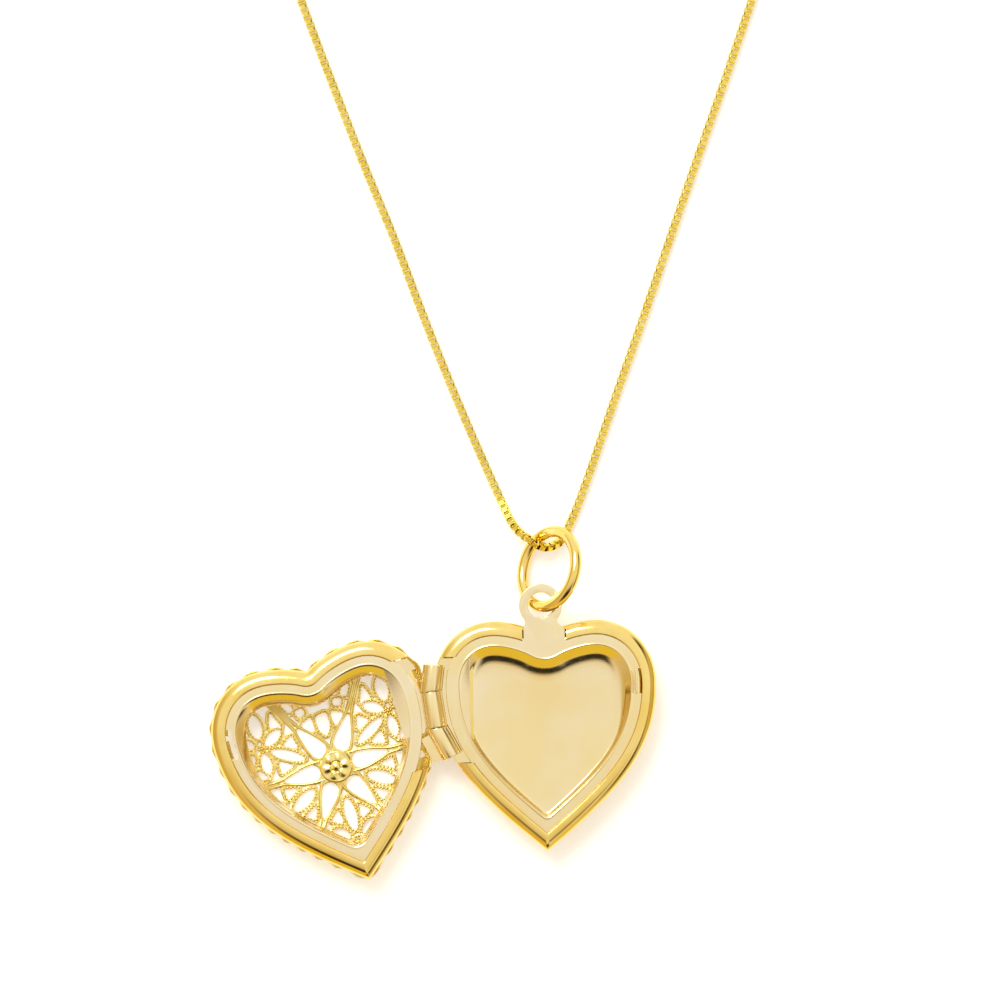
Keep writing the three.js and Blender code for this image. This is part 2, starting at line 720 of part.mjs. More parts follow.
function claspBody() {
  const tube = arcRod(clasp.gap[1], clasp.gap[0] + 2 * Math.PI, clasp.tube, 36, clasp.bore);
  const slot = new THREE.Shape();
  const [from, to] = [knobAngle - rad(6), knobAngle + clasp.travel + rad(6)];
  slot.absarc(0, 0, clasp.radius + 1, from, to, false);
  slot.absarc(0, 0, clasp.radius + 0.1, to, from, true);
  return subtract(tube, slab(slot, -0.19, 0.19, 8)).add(loopSolid(farX - claspX, loop.z - claspZ));
}

function claspBolt() {
  const rod = arcRod(rad(8), knobAngle + rad(35), clasp.rod, 16);
  const outward = new THREE.Vector3(Math.cos(knobAngle), Math.sin(knobAngle), 0);
  const stem = bar(outward.clone().multiplyScalar(clasp.radius), outward, 0.95, 0.15, 10);
  const pad = new THREE.BoxGeometry(0.3, 0.55, 0.5);
  pad.translate(clasp.radius + 1, 0, 0);
  pad.rotateZ(knobAngle);
  return rod.add(stem).add(toManifold(pad));
}

function fittingGroup(x, y, way, ...meshes) {
  const group = new THREE.Group();
  group.position.set(x, y, 0);
  group.rotation.z = Math.atan2(way.y, way.x);
  group.add(...meshes);
  return group;
}

// ---------- Assembly ----------

const backHalf = new THREE.Group();
backHalf.position.set(backTip.x, backTip.y, halfDepth);
backHalf.rotation.z = backLean;
backHalf.add(
  piece('back_shell', backShell(), gold),
  piece('back_plate', backPlate(), paleGold),
  piece('hinge_knuckle_upper', outerKnuckle(1, knuckle.upper, upperBend), gold),
  piece('hinge_knuckle_lower', outerKnuckle(-1, knuckle.lower, lowerBend), gold),
  piece('hinge_pin', hingePin(), steel),
);

// The front half opened flat is the back half's place mirrored across the hinge line.
const hingeAt = hingeLine(-1).at.applyMatrix4(toDesign);
const hingeUp = hingeLine(-1).up.transformDirection(toDesign);
const tipOffset = new THREE.Vector2(backTip.x - hingeAt.x, backTip.y - hingeAt.y);
const alongHinge = tipOffset.x * hingeUp.x + tipOffset.y * hingeUp.y;
const frontHalf = new THREE.Group();
frontHalf.position.set(
  hingeAt.x + 2 * alongHinge * hingeUp.x - tipOffset.x,
  hingeAt.y + 2 * alongHinge * hingeUp.y - tipOffset.y,
  halfDepth,
);
frontHalf.rotation.z = backLean + 2 * hinge.lean;
frontHalf.add(
  piece('front_rim', frontRim(), gold),
  piece('front_plate', frontPlate(), paleGold),
  piece('filigree_cover', filigreeCover(), gold),
  piece('filigree_rosette', rosette(), paleGold),
  piece('hinge_knuckle_middle', middleKnuckle(), gold),
);

const locket = new THREE.Group();
locket.add(backHalf, frontHalf, pendantRingMesh());

const chainGroup = new THREE.Group();
const strandEnd = new THREE.Vector2(route[0][0] - route[1][0], route[0][1] - route[1][1]).normalize();
const tailLength = 8.5;
const tailTube = cordTube([tailPoint(4, 1.0), tailPoint(6, 0.75), tailPoint(tailLength, capZ)], 3);
chainGroup.add(
  piece('chain_strands', cordTube(route, chain.steps), chainGold),
  piece('chain_coil', coilSolid(), chainGold),
  piece('chain_tail', tailTube, chainGold),
  piece('coil_tie', coilTie(), thread),
);
const claspMeshes = [
  piece('clasp_body', claspBody(), gold),
  piece('clasp_bolt', claspBolt(), paleGold),
  piece('clasp_spring', arcRod(rad(204), rad(262), clasp.rod, 10), steel),
];
claspMeshes.forEach((mesh) => mesh.position.set(claspX, 0, claspZ));
const claspStart = tailPoint(tailLength + fittingGap, 0);
chainGroup.add(
  fittingGroup(claspStart[0], claspStart[1], exitWay,
    piece('clasp_end_cap', endCap(), gold), endRingMesh('clasp_link', 0), ...claspMeshes),
  fittingGroup(route[0][0] + strandEnd.x * fittingGap, route[0][1] + strandEnd.y * fittingGap, strandEnd,
    piece('plain_end_cap', endCap(), gold), endRingMesh('end_ring', rad(9))),
);

// The origin is the middle of the locket's footprint on the table, its jump ring included.
const necklace = new THREE.Group();
const footprint = new THREE.Box3().setFromObject(locket, true);
necklace.add(locket, chainGroup);
necklace.position.set(
  -(footprint.min.x + footprint.max.x) / 2,
  -(footprint.min.y + footprint.max.y) / 2,
  0,
);

export default necklace;
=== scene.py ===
"""Looks for the heart locket necklace: an open locket on a fine box chain, lying on a pale table.
Shapes are worked out in millimetres in each half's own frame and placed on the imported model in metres."""
import json
import math

import bmesh
import bpy
import numpy as np
from mathutils import Matrix, Vector


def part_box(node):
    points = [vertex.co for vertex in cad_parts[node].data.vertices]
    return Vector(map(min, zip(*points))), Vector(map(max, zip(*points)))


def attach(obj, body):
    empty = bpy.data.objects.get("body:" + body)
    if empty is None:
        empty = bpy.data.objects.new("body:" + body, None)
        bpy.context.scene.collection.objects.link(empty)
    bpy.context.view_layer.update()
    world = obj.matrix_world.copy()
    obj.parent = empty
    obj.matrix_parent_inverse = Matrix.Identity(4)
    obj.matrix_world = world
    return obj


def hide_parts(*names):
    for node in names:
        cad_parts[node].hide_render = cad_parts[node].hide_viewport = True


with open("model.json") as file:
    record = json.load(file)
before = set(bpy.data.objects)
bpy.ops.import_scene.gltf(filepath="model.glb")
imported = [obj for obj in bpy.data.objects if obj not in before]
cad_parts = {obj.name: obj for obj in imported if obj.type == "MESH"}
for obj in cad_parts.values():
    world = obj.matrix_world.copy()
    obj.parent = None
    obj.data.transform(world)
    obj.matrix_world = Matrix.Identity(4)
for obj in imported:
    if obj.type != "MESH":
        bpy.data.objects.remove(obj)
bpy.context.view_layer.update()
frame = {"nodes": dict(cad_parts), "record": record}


MM = 0.001

# ---------- Driving dimensions, in millimetres ----------
# Most are the CAD's. The lobes' spread, the bail's flare, the flanges, the tongue and the tip notch
# are for the looks only.

HALF_WIDTH, HEIGHT, LOBE_X, CLEFT_Y, WIDEST_Y, CENTRE_Y = 10.7, 22.25, 4.9, 20.9, 16.1, 12.0
HALF_DEPTH = 3.8
BACK_TIP = Vector((4.6, -33.8, 0))
BACK_LEAN = math.radians(1)
HINGE_X, HINGE_Y, HINGE_LEAN = 10.7, 13.9, math.radians(8)
KNUCKLE, BORE, MIDDLE, UPPER, LOWER, KNUCKLE_GAP = 1.0, 0.58, 3.4, 2.5, 3.1, 0.1
UPPER_BEND, LOWER_BEND = math.radians(15), math.radians(20)
PIN, PIN_REACH, RUN_UP, MOUTH = 0.45, 0.8, 0.6, 0.9
LEAF_REACH, LEAF_THICK, LEAF_Z, LEAF_MARGIN = 1.9, 0.22, -0.89, 0.25
PLATE_TOP, PLATE_BOTTOM, PLATE_INSET = -0.42, -0.72, 1.12
PAN_FLOOR, PAN_TIP, WINDOW_TIP = -1.3, 0.6, 1.4
LOBE_LOW, LOBE_HIGH = 10.0, 18.5
EYE_X, EYE_Y, EYE_OUTER, EYE_HOLE, EYE_NECK, EYE_ROOT = -0.3, 23.7, 2.07, 1.22, 1.55, 2.0
FLARE_Y = 21.3
CATCH_Y, CATCH_HEIGHT, EAR_TOP = 16.3, 2.4, 0.75
EAR, SLOT, NOTCH = (8.66, 8.88), (8.88, 9.75), (8.55, 9.75)
TONGUE, TONGUE_THICK, TONGUE_Z, TONGUE_DIP = 0.42, 0.12, -0.52, math.radians(14)
BACK_GAP, FRONT_GAP = (8.3, 18.9), (8.7, 19.5)
BACK_FLANGE, FRONT_FLANGE, FLANGE_REACH = (8.75, 18.75), (12.0, 19.35), 3.5
LIP = [
    (0, -0.8), (0.12, -0.5), (0.6, -0.14), (1.22, -0.04),
    (1.4, -0.08), (1.4, -0.26), (0.8, -0.42), (0.36, -0.86),
]
TIP_NOTCH_Z = -0.28
STAR_Y = 11.3
RING_RADIUS, RING_WIRE = 3.68, 0.56
RING_LEAN, RING_TILT = math.radians(16), math.radians(49)
CHAIN_RADIUS, FLOOR_Z = 0.4, 0.45
COIL_X, COIL_Y, COIL_OUTER, COIL_INNER = -15.5, 57.5, 6.64, 2.09
COIL_LOW, COIL_HIGH = 0.65, 1.45
COIL_IN, COIL_OUT = math.radians(200.5), math.radians(60)

# ---------- Frames ----------


def turned(x, y, angle):
    return Vector((x * math.cos(angle) - y * math.sin(angle), x * math.sin(angle) + y * math.cos(angle), 0))


# The design frame's place in the model comes from the cover hinge, which both of them know.
JOINTS = {joint["name"]: joint for joint in frame["record"]["behaviour"]["joints"]}
hinge_design = BACK_TIP + turned(-HINGE_X, HINGE_Y, BACK_LEAN)
SHIFT = Vector(JOINTS["cover_hinge"]["pos_m"]) / MM - hinge_design
SHIFT.z = 0
hinge_way = turned(-math.sin(HINGE_LEAN), math.cos(HINGE_LEAN), BACK_LEAN)
tip_from_hinge = BACK_TIP - hinge_design
FRONT_TIP = hinge_design + 2 * tip_from_hinge.dot(hinge_way) * hinge_way - tip_from_hinge


def place(x, y, z, angle):
    return (Matrix.Scale(MM, 4) @ Matrix.Translation(Vector((x, y, z)) + SHIFT)
            @ Matrix.Rotation(angle, 4, "Z"))


BACK = place(BACK_TIP.x, BACK_TIP.y, HALF_DEPTH, BACK_LEAN)
FRONT = place(FRONT_TIP.x, FRONT_TIP.y, HALF_DEPTH, BACK_LEAN + 2 * HINGE_LEAN)
DESIGN = place(0, 0, 0, 0)

# ---------- Camera: a long lens straight above, as the picture was taken ----------

VIEW_WIDTH, LENS, SENSOR, FOCUS_Z = 96.0, 200.0, 36.0, 3.2
camera_data = bpy.data.cameras.new("camera")
camera_data.lens = LENS
camera_data.sensor_width = SENSOR
camera_data.clip_start = 0.01
camera_data.clip_end = 5
camera = bpy.data.objects.new("camera", camera_data)
camera.location = (SHIFT + Vector((0, 0, VIEW_WIDTH * LENS / SENSOR + FOCUS_Z))) * MM
bpy.context.scene.collection.objects.link(camera)
bpy.context.scene.camera = camera

# ---------- Mesh helpers ----------


def new_object(name, verts, faces):
    mesh = bpy.data.meshes.new(name)
    mesh.from_pydata([tuple(v) for v in verts], [], faces)
    mesh.validate()
    obj = bpy.data.objects.new(name, mesh)
    bpy.context.scene.collection.objects.link(obj)
    return obj


def tidy_normals(obj):
    work = bmesh.new()
    work.from_mesh(obj.data)
    bmesh.ops.recalc_face_normals(work, faces=work.faces)
    work.to_mesh(obj.data)
    work.free()


def settle(obj):
    """Applies an object's modifiers to its mesh."""
    graph = bpy.context.evaluated_depsgraph_get()
    graph.update()
    mesh = bpy.data.meshes.new_from_object(obj.evaluated_get(graph))
    obj.modifiers.clear()
    obj.data = mesh


def combine(obj, others, operation="DIFFERENCE"):
    """Cuts the others from obj, or joins them to it, and removes them."""
    for other in others:
        step = obj.modifiers.new("combine", "BOOLEAN")
        step.operation = operation
        step.solver = "EXACT"
        step.object = other
    settle(obj)
    for other in others:
        bpy.data.objects.remove(other)
    return obj


def soften(obj, width, segments=2, angle=40):
    """Rounds an object's sharp edges."""
    bevel = obj.modifiers.new("soften", "BEVEL")
    bevel.width = width
    bevel.segments = segments
    bevel.limit_method = "ANGLE"
    bevel.angle_limit = math.radians(angle)
    bevel.use_clamp_overlap = True
    settle(obj)
    return obj


def finish_piece(obj, at, body, nodes, material, sharp=40):
    """Places a piece made in millimetres, smooths it, and ties it to the model."""
    obj.data.transform(at)
    obj.data.shade_smooth()
    obj.data.set_sharp_from_angle(angle=math.radians(sharp))
    obj.data.materials.clear()
    obj.data.materials.append(material)
    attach(obj, body)
    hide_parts(*nodes)
    return obj


def band(a, b, size):
    """Faces between two rings of vertices that start at a and b."""
    return [(a + i, a + (i + 1) % size, b + (i + 1) % size, b + i) for i in range(size)]


def prism(name, verts, count):
    """A closed solid between two matching rings of vertices."""
    faces = band(0, count, count)
    faces += [tuple(reversed(range(count))), tuple(range(count, 2 * count))]
    obj = new_object(name, verts, faces)
    tidy_normals(obj)
    return obj


def turn_to(way):
    """The turn that takes Y to a direction."""
    return Vector((0, 1, 0)).rotation_difference(way).to_matrix().to_4x4()


def block(x, y, z):
    corners = [(x[i], y[j], z[k]) for i in (0, 1) for j in (0, 1) for k in (0, 1)]
    faces = [(0, 1, 3, 2), (4, 6, 7, 5), (0, 4, 5, 1), (2, 3, 7, 6), (0, 2, 6, 4), (1, 5, 7, 3)]
    return new_object("block", corners, faces)


def bar(start, way, length, radius, sides=64):
    way = Vector(way).normalized()
    across = way.orthogonal().normalized()
    side = way.cross(across)
    verts = []
    for end in (0, length):
        for i in range(sides):
            angle = 2 * math.pi * i / sides
            ray = across * math.cos(angle) + side * math.sin(angle)
            verts.append(Vector(start) + way * end + ray * radius)
    return prism("bar", verts, sides)


def slab(outline, low, high):
    return prism("slab", [(x, y, z) for z in (low, high) for x, y in outline], len(outline))


def sweep_mesh(points, radius, sides, closed=False):
    """Vertices and faces of a round wire along a line of points."""
    points = [Vector(p) for p in points]
    count = len(points)
    verts, faces = [], []
    normal = None
    for i, point in enumerate(points):
        before = points[i - 1] if closed or i else point
        after = points[(i + 1) % count] if closed or i < count - 1 else point
        tangent = (after - before).normalized()
        if normal is None:
            normal = tangent.orthogonal()
        normal = (normal - tangent * normal.dot(tangent)).normalized()
        side = tangent.cross(normal)
        for k in range(sides):
            angle = 2 * math.pi * k / sides
            verts.append(point + (normal * math.cos(angle) + side * math.sin(angle)) * radius)
    for i in range(count if closed else count - 1):
        faces += band(i * sides, (i + 1) % count * sides, sides)
    if not closed:
        last = (count - 1) * sides
        faces += [tuple(reversed(range(sides))), tuple(range(last, last + sides))]
    return verts, faces


def merged(parts):
    """One list of vertices and one of faces from several pairs of them."""
    verts, faces = [], []
    for more_verts, more_faces in parts:
        base = len(verts)
        verts += more_verts
        faces += [tuple(base + i for i in face) for face in more_faces]
    return verts, faces


# ---------- The heart outline and its insets ----------


def bezier(a, b, c, d, t):
    return a * (1 - t) ** 3 + b * 3 * t * (1 - t) ** 2 + c * 3 * t * t * (1 - t) + d * t ** 3


def sample_half_heart(per_curve=48):
    """Right half of the outline from cleft to tip, with the inward normal at each sample."""
    w, h, lobe = HALF_WIDTH, HEIGHT, LOBE_X
    curves = [
        [(0, CLEFT_Y), (1.2, CLEFT_Y + 0.7), (lobe - 1.7, h), (lobe, h)],
        [(lobe, h), (lobe + 3.2, h), (w, WIDEST_Y + 3.6), (w, WIDEST_Y)],
        [(w, WIDEST_Y), (w, 8.9), (6.1, 5.1), (0, 0)],
    ]
    samples = []
    for number, curve in enumerate(curves):
        a, b, c, d = [np.array(p, float) for p in curve]
        for i in range(0 if number == 0 else 1, per_curve + 1):
            t = i / per_curve
            way = (b - a) * (1 - t) ** 2 + (c - b) * 2 * t * (1 - t) + (d - c) * t * t
            way = way / np.linalg.norm(way)
            samples.append((bezier(a, b, c, d, t), np.array([way[1], -way[0]])))
    return samples


HALF_HEART = sample_half_heart()


def inset_half(inset, tip_radius):
    """Half outline moved inward by inset, with its tip rounded to tip_radius."""
    core = inset + tip_radius
    out = []
    fan = 8
    first = HALF_HEART[0][1]
    cleft_turn = math.atan2(first[1], first[0])
    if core > 0:
        for i in range(fan):
            angle = -math.pi / 2 + (cleft_turn + math.pi / 2) * i / fan
            normal = np.array([math.cos(angle), math.sin(angle)])
            out.append(np.array([0, CLEFT_Y]) + inset * normal)
    last = None
    for point, normal in HALF_HEART:
        moved = point + core * normal
        if moved[0] < 0 and last is not None:
            t = last[0][0] / (last[0][0] - moved[0])
            met = np.array([0, last[0][1] + (moved[1] - last[0][1]) * t])
            out.append(met - tip_radius * normal)
            last = (met, normal)
            break
        if moved[0] >= 0:
            out.append(moved - tip_radius * normal)
            last = (moved, normal)
    met, side = last
    if met[0] > 0:
        out.append(np.array([0, met[1] - met[0] * (-side[0] / side[1])]))
    tip = out[-1] + side * tip_radius
    side_turn = math.atan2(side[1], side[0])
    if tip_radius > 0:
        for i in range(1, fan + 1):
            angle = side_turn + (math.pi / 2 - side_turn) * i / fan
            out.append(tip - tip_radius * np.array([math.cos(angle), math.sin(angle)]))
    out[0][0] = 0
    out[-1][0] = 0
    return np.array(out)


def distances_along(line):
    """Distance along a line from its start to each of its points."""
    steps = np.linalg.norm(np.diff(line, axis=0), axis=1)
    return np.concatenate([[0], np.cumsum(steps)])


def points_at(line, along, wanted):
    return np.stack([np.interp(wanted, along, line[:, k]) for k in range(line.shape[1])], axis=1)


def evenly(line, count):
    along = distances_along(line)
    return points_at(line, along, np.linspace(0, along[-1], count + 1))


def heart_ring(inset, tip_radius=0.0, count=96, spread=0.0):
    """The outline moved inward by inset, and by spread more round its lobes."""
    half = evenly(inset_half(inset, tip_radius), count)
    if spread:
        wide = evenly(inset_half(inset + spread, tip_radius), count)
        share = np.clip((half[:, 1] - LOBE_LOW) / (LOBE_HIGH - LOBE_LOW), 0, 1)
        share = (share * share * (3 - 2 * share))[:, None]
        half = half * (1 - share) + wide * share
    mirrored = half[1:-1][::-1] * np.array([-1, 1])
    return np.concatenate([half, mirrored])


def corner_curve(start, corner, end, steps):
    """Points of the curve that rounds a corner."""
    shares = [k / steps for k in range(steps + 1)]
    return [start * (1 - t) ** 2 + corner * 2 * t * (1 - t) + end * t * t for t in shares]


def filleted(section, radius, closed, steps=3):
    """A section with each corner rounded by up to the radius."""
    points = [np.array((list(p) + [0.0, 0.0])[:4], float) for p in section]
    count = len(points)
    out = []
    for i, point in enumerate(points):
        if not closed and i in (0, count - 1):
            out.append(point)
            continue
        before, after = points[i - 1], points[(i + 1) % count]
        a, b = before - point, after - point
        reach_a = min(radius, 0.45 * np.linalg.norm(a[:2])) / np.linalg.norm(a[:2])
        reach_b = min(radius, 0.45 * np.linalg.norm(b[:2])) / np.linalg.norm(b[:2])
        out += corner_curve(point + a * reach_a, point, point + b * reach_b, steps)
    return out


def loft(name, section, closed, radius, count=96, hub=None):
    """A heart-shaped solid from a section of (inset, z, tip radius, spread) corners: a frame, or a dish
    whose last ring sinks smoothly to the height of its hub."""
    rounded = filleted(section, radius, closed)
    size = 2 * count
    rings = [np.column_stack([heart_ring(p[0], p[2], count, p[3]), np.full(size, p[1])]) for p in rounded]
    if hub is not None:
        rim, centre = rings[-1], np.array([0, CENTRE_Y, hub])
        for share in (0.1, 0.2, 0.32, 0.44, 0.56, 0.68, 0.8, 0.9):
            ring = rim * (1 - share) + centre * share
            ring[:, 2] = hub + (rim[:, 2] - hub) * (1 - share) ** 2
            rings.append(ring)
    verts = [tuple(v) for ring in rings for v in ring]
    faces = []
    for r in range(len(rings) if closed else len(rings) - 1):
        faces += band(r * size, (r + 1) % len(rings) * size, size)
    if not closed:
        for ring, height in ((0, rounded[0][1]), (len(rings) - 1, rounded[-1][1] if hub is None else hub)):
            base = ring * size
            middle = len(verts)
            verts.append((0, CENTRE_Y, height))
            faces += [(middle, base + i, base + (i + 1) % size) for i in range(size)]
    obj = new_object(name, verts, faces)
    tidy_normals(obj)
    return obj


# ---------- Materials ----------


def node_material(name):
    material = bpy.data.materials.new(name)
    material.use_nodes = True
    tree = material.node_tree
    shader = tree.nodes["Principled BSDF"]
    return material, tree, shader


def noise(tree, scale, detail=2.0, stretch=None):
    """A noise texture in object space, whose scale is in features per millimetre."""
    coords = tree.nodes.new("ShaderNodeTexCoord")
    mapping = tree.nodes.new("ShaderNodeMapping")
    texture = tree.nodes.new("ShaderNodeTexNoise")
    mapping.inputs["Scale"].default_value = stretch or (1, 1, 1)
    texture.inputs["Scale"].default_value = scale / MM
    texture.inputs["Detail"].default_value = detail
    tree.links.new(coords.outputs["Object"], mapping.inputs["Vector"])
    tree.links.new(mapping.outputs["Vector"], texture.inputs["Vector"])
    return texture.outputs["Fac"]


def ranged(tree, value, low, high, out_low, out_high):
    node = tree.nodes.new("ShaderNodeMapRange")
    node.inputs["From Min"].default_value = low
    node.inputs["From Max"].default_value = high
    node.inputs["To Min"].default_value = out_low
    node.inputs["To Max"].default_value = out_high
    tree.links.new(value, node.inputs["Value"])
    return node.outputs["Result"]


def mixed(tree, factor, first, second):
    """Blends a colour, plain or from another node, into a plain one."""
    node = tree.nodes.new("ShaderNodeMix")
    node.data_type = "RGBA"
    if isinstance(first, tuple):
        node.inputs["A"].default_value = (*first, 1)
    else:
        tree.links.new(first, node.inputs["A"])
    node.inputs["B"].default_value = (*second, 1)
    tree.links.new(factor, node.inputs["Factor"])
    return node.outputs["Result"]


def times(tree, first, second):
    node = tree.nodes.new("ShaderNodeMath")
    node.operation = "MULTIPLY"
    tree.links.new(first, node.inputs[0])
    tree.links.new(second, node.inputs[1])
    return node.outputs["Value"]


def bumped(tree, shader, height, strength, distance, under=None):
    node = tree.nodes.new("ShaderNodeBump")
    node.inputs["Strength"].default_value = strength
    node.inputs["Distance"].default_value = distance * MM
    tree.links.new(height, node.inputs["Height"])
    if under:
        tree.links.new(under, node.inputs["Normal"])
    tree.links.new(node.outputs["Normal"], shader.inputs["Normal"])
    return node.outputs["Normal"]


def gold(name, light, deep, rough, waver, scratch, grain, sway=0.0):
    """Polished gold plate: two close tints in soft patches, fine scratches, and slightly uneven gloss."""
    material, tree, shader = node_material(name)
    shader.inputs["Metallic"].default_value = 1.0
    patches = noise(tree, grain, 3)
    tint = mixed(tree, ranged(tree, patches, 0.35, 0.65, 0, 1), light, deep)
    tree.links.new(tint, shader.inputs["Base Color"])
    haze = noise(tree, 2.2, 4)
    tree.links.new(ranged(tree, haze, 0.3, 0.7, rough - waver, rough + waver), shader.inputs["Roughness"])
    lines = noise(tree, 1.0, 2, (0.35, 9.0, 1.0))
    normal = bumped(tree, shader, lines, scratch, 0.012)
    if sway:
        bumped(tree, shader, noise(tree, 0.16, 1), 1.0, sway, normal)
    return material


POLISHED = gold("polished_gold", (0.93, 0.71, 0.25), (0.90, 0.64, 0.17), 0.11, 0.03, 0.12, 0.4, 0.05)
PLATE = gold("pale_gold", (0.91, 0.78, 0.51), (0.91, 0.73, 0.36), 0.14, 0.04, 0.2, 0.16, 0.12)
PIERCED = gold("filigree_gold", (0.93, 0.77, 0.31), (0.85, 0.64, 0.17), 0.18, 0.05, 0.2, 1.2)
LINKS = gold("chain_gold", (0.92, 0.74, 0.17), (0.82, 0.61, 0.07), 0.14, 0.05, 0.25, 1.0)
KNUCKLE_GOLD = gold("knuckle_gold", (0.93, 0.77, 0.42), (0.91, 0.70, 0.32), 0.16, 0.03, 0.2, 0.4)
WIRE = gold("pin_wire", (0.82, 0.78, 0.70), (0.72, 0.68, 0.60), 0.3, 0.05, 0.4, 1.5)


def thread_material():
    """White sewing thread, slightly fuzzy."""
    material, tree, shader = node_material("thread")
    fuzz = noise(tree, 9, 4)
    tint = mixed(tree, fuzz, (0.93, 0.92, 0.88), (0.78, 0.77, 0.73))
    tree.links.new(tint, shader.inputs["Base Color"])
    shader.inputs["Roughness"].default_value = 0.85
    shader.inputs["Sheen Weight"].default_value = 0.3
    bumped(tree, shader, fuzz, 0.5, 0.03)
    return material


THREAD = thread_material()

# ---------- Chain ----------

ROUTE = [
    (25.35, 51.4, FLOOR_Z), (24.2, 48.0, FLOOR_Z), (21.6, 40.3, FLOOR_Z), (18.9, 32.6, FLOOR_Z),
    (16.3, 25.0, FLOOR_Z), (13.7, 17.3, FLOOR_Z), (11.0, 9.6, FLOOR_Z), (8.4, 2.0, FLOOR_Z),
    (7.2, -1.2, FLOOR_Z), (6.6, -2.55, 0.5), (6.05, -3.65, 0.7), (5.4, -4.3, 1.15), (4.6, -4.55, 1.65),
    (3.8, -4.4, 2.1), (3.1, -3.95, 2.3), (2.4, -3.5, 2.2), (1.7, -2.9, 1.9), (1.05, -2.0, 1.4),
    (0.2, -0.2, 0.75), (-0.9, 2.2, FLOOR_Z), (-4.1, 9.6, FLOOR_Z), (-7.2, 17.3, FLOOR_Z),
    (-10.1, 25.0, FLOOR_Z), (-13.2, 32.6, FLOOR_Z), (-16.2, 40.3, FLOOR_Z), (-19.1, 48.0, FLOOR_Z),
    (-20.35, 51.4, FLOOR_Z),
]


def catmull_rom(points, per_span=24):
    """The centripetal Catmull-Rom curve through the points, as the CAD's tube follows it."""
    points = [np.array(p, float) for p in points]
    ends = [2 * points[0] - points[1]] + points + [2 * points[-1] - points[-2]]
    out = []
    for i in range(1, len(ends) - 2):
        p0, p1, p2, p3 = ends[i - 1:i + 3]
        d0, d1, d2 = [max(np.linalg.norm(b - a), 1e-4) ** 0.5 for a, b in ((p0, p1), (p1, p2), (p2, p3))]
        t1 = ((p1 - p0) / d0 - (p2 - p0) / (d0 + d1) + (p2 - p1) / d1) * d1
        t2 = ((p2 - p1) / d1 - (p3 - p1) / (d1 + d2) + (p3 - p2) / d2) * d1
        for k in range(per_span):
            t = k / per_span
            c2 = -3 * p1 + 3 * p2 - 2 * t1 - t2
            c3 = 2 * p1 - 2 * p2 + t1 + t2
            out.append(p1 + t1 * t + c2 * t * t + c3 * t ** 3)
    out.append(points[-1])
    return out


def coil_points():
    """The coil: inward in its lower layer, outward in its upper one, then down its tail to the cap."""
    turns = 11 + (COIL_IN - COIL_OUT) / (2 * math.pi)
    steps = int(turns * 24)
    out = []
    for i in range(steps + 1):
        share = i / steps
        angle = COIL_IN - share * turns * 2 * math.pi
        radius = COIL_INNER + (COIL_OUTER - COIL_INNER) * abs(1 - 2 * share)
        rise = min(1, max(0, (share - 0.47) / 0.06))
        height = COIL_LOW + (COIL_HIGH - COIL_LOW) * rise * rise * (3 - 2 * rise)
        out.append((COIL_X + radius * math.cos(angle), COIL_Y + radius * math.sin(angle), height))
    way = (math.sin(COIL_OUT), -math.cos(COIL_OUT))
    exit_x = COIL_X + COIL_OUTER * math.cos(COIL_OUT)
    exit_y = COIL_Y + COIL_OUTER * math.sin(COIL_OUT)
    tail = ((2.0, 1.3), (4.0, 1.0), (6.0, 0.75), (8.5, 0.58))
    return out, [(exit_x + way[0] * far, exit_y + way[1] * far, z) for far, z in tail]


def chain_path(spacing):
    """The whole chain's line as points a set distance apart."""
    coil, tail = coil_points()
    lead, trail = catmull_rom(ROUTE + [coil[0]]), catmull_rom([coil[-1]] + tail)
    line = np.array(lead[:-1] + [np.array(p) for p in coil] + trail[1:])
    along = distances_along(line)
    count = int(along[-1] / spacing)
    wanted = (np.arange(count) + 0.5) * along[-1] / count
    return points_at(line, along, wanted), along[-1], line


LINK_WALL, LINK_LONG, LINK_HIGH, LINK_WIDE = 0.12, 0.625, 0.8, 0.5


def link_mesh():
    """One box link: a flat strip bent into a square, with its opening along Y."""
    half_x, half_z, wide = LINK_LONG / 2, LINK_HIGH / 2, LINK_WIDE / 2
    chamfer, round_off = 0.09, 0.035

    def ring(shrink, cut):
        x, z = half_x - shrink, half_z - shrink
        return [(x - cut, -z), (x, -z + cut), (x, z - cut), (x - cut, z),
                (-x + cut, z), (-x, z - cut), (-x, -z + cut), (-x + cut, -z)]

    outer = ring(0, chamfer)
    edge = ring(round_off, chamfer)
    inner = ring(LINK_WALL, 0.04)
    loops = [(inner, -wide), (edge, -wide), (outer, -wide + round_off), (outer, wide - round_off),
             (edge, wide), (inner, wide)]
    verts = [(x, y, z) for loop, y in loops for x, z in loop]
    size = len(outer)
    faces = []
    for r in range(len(loops)):
        faces += band(r * size, (r + 1) % len(loops) * size, size)
    return np.array(verts), faces


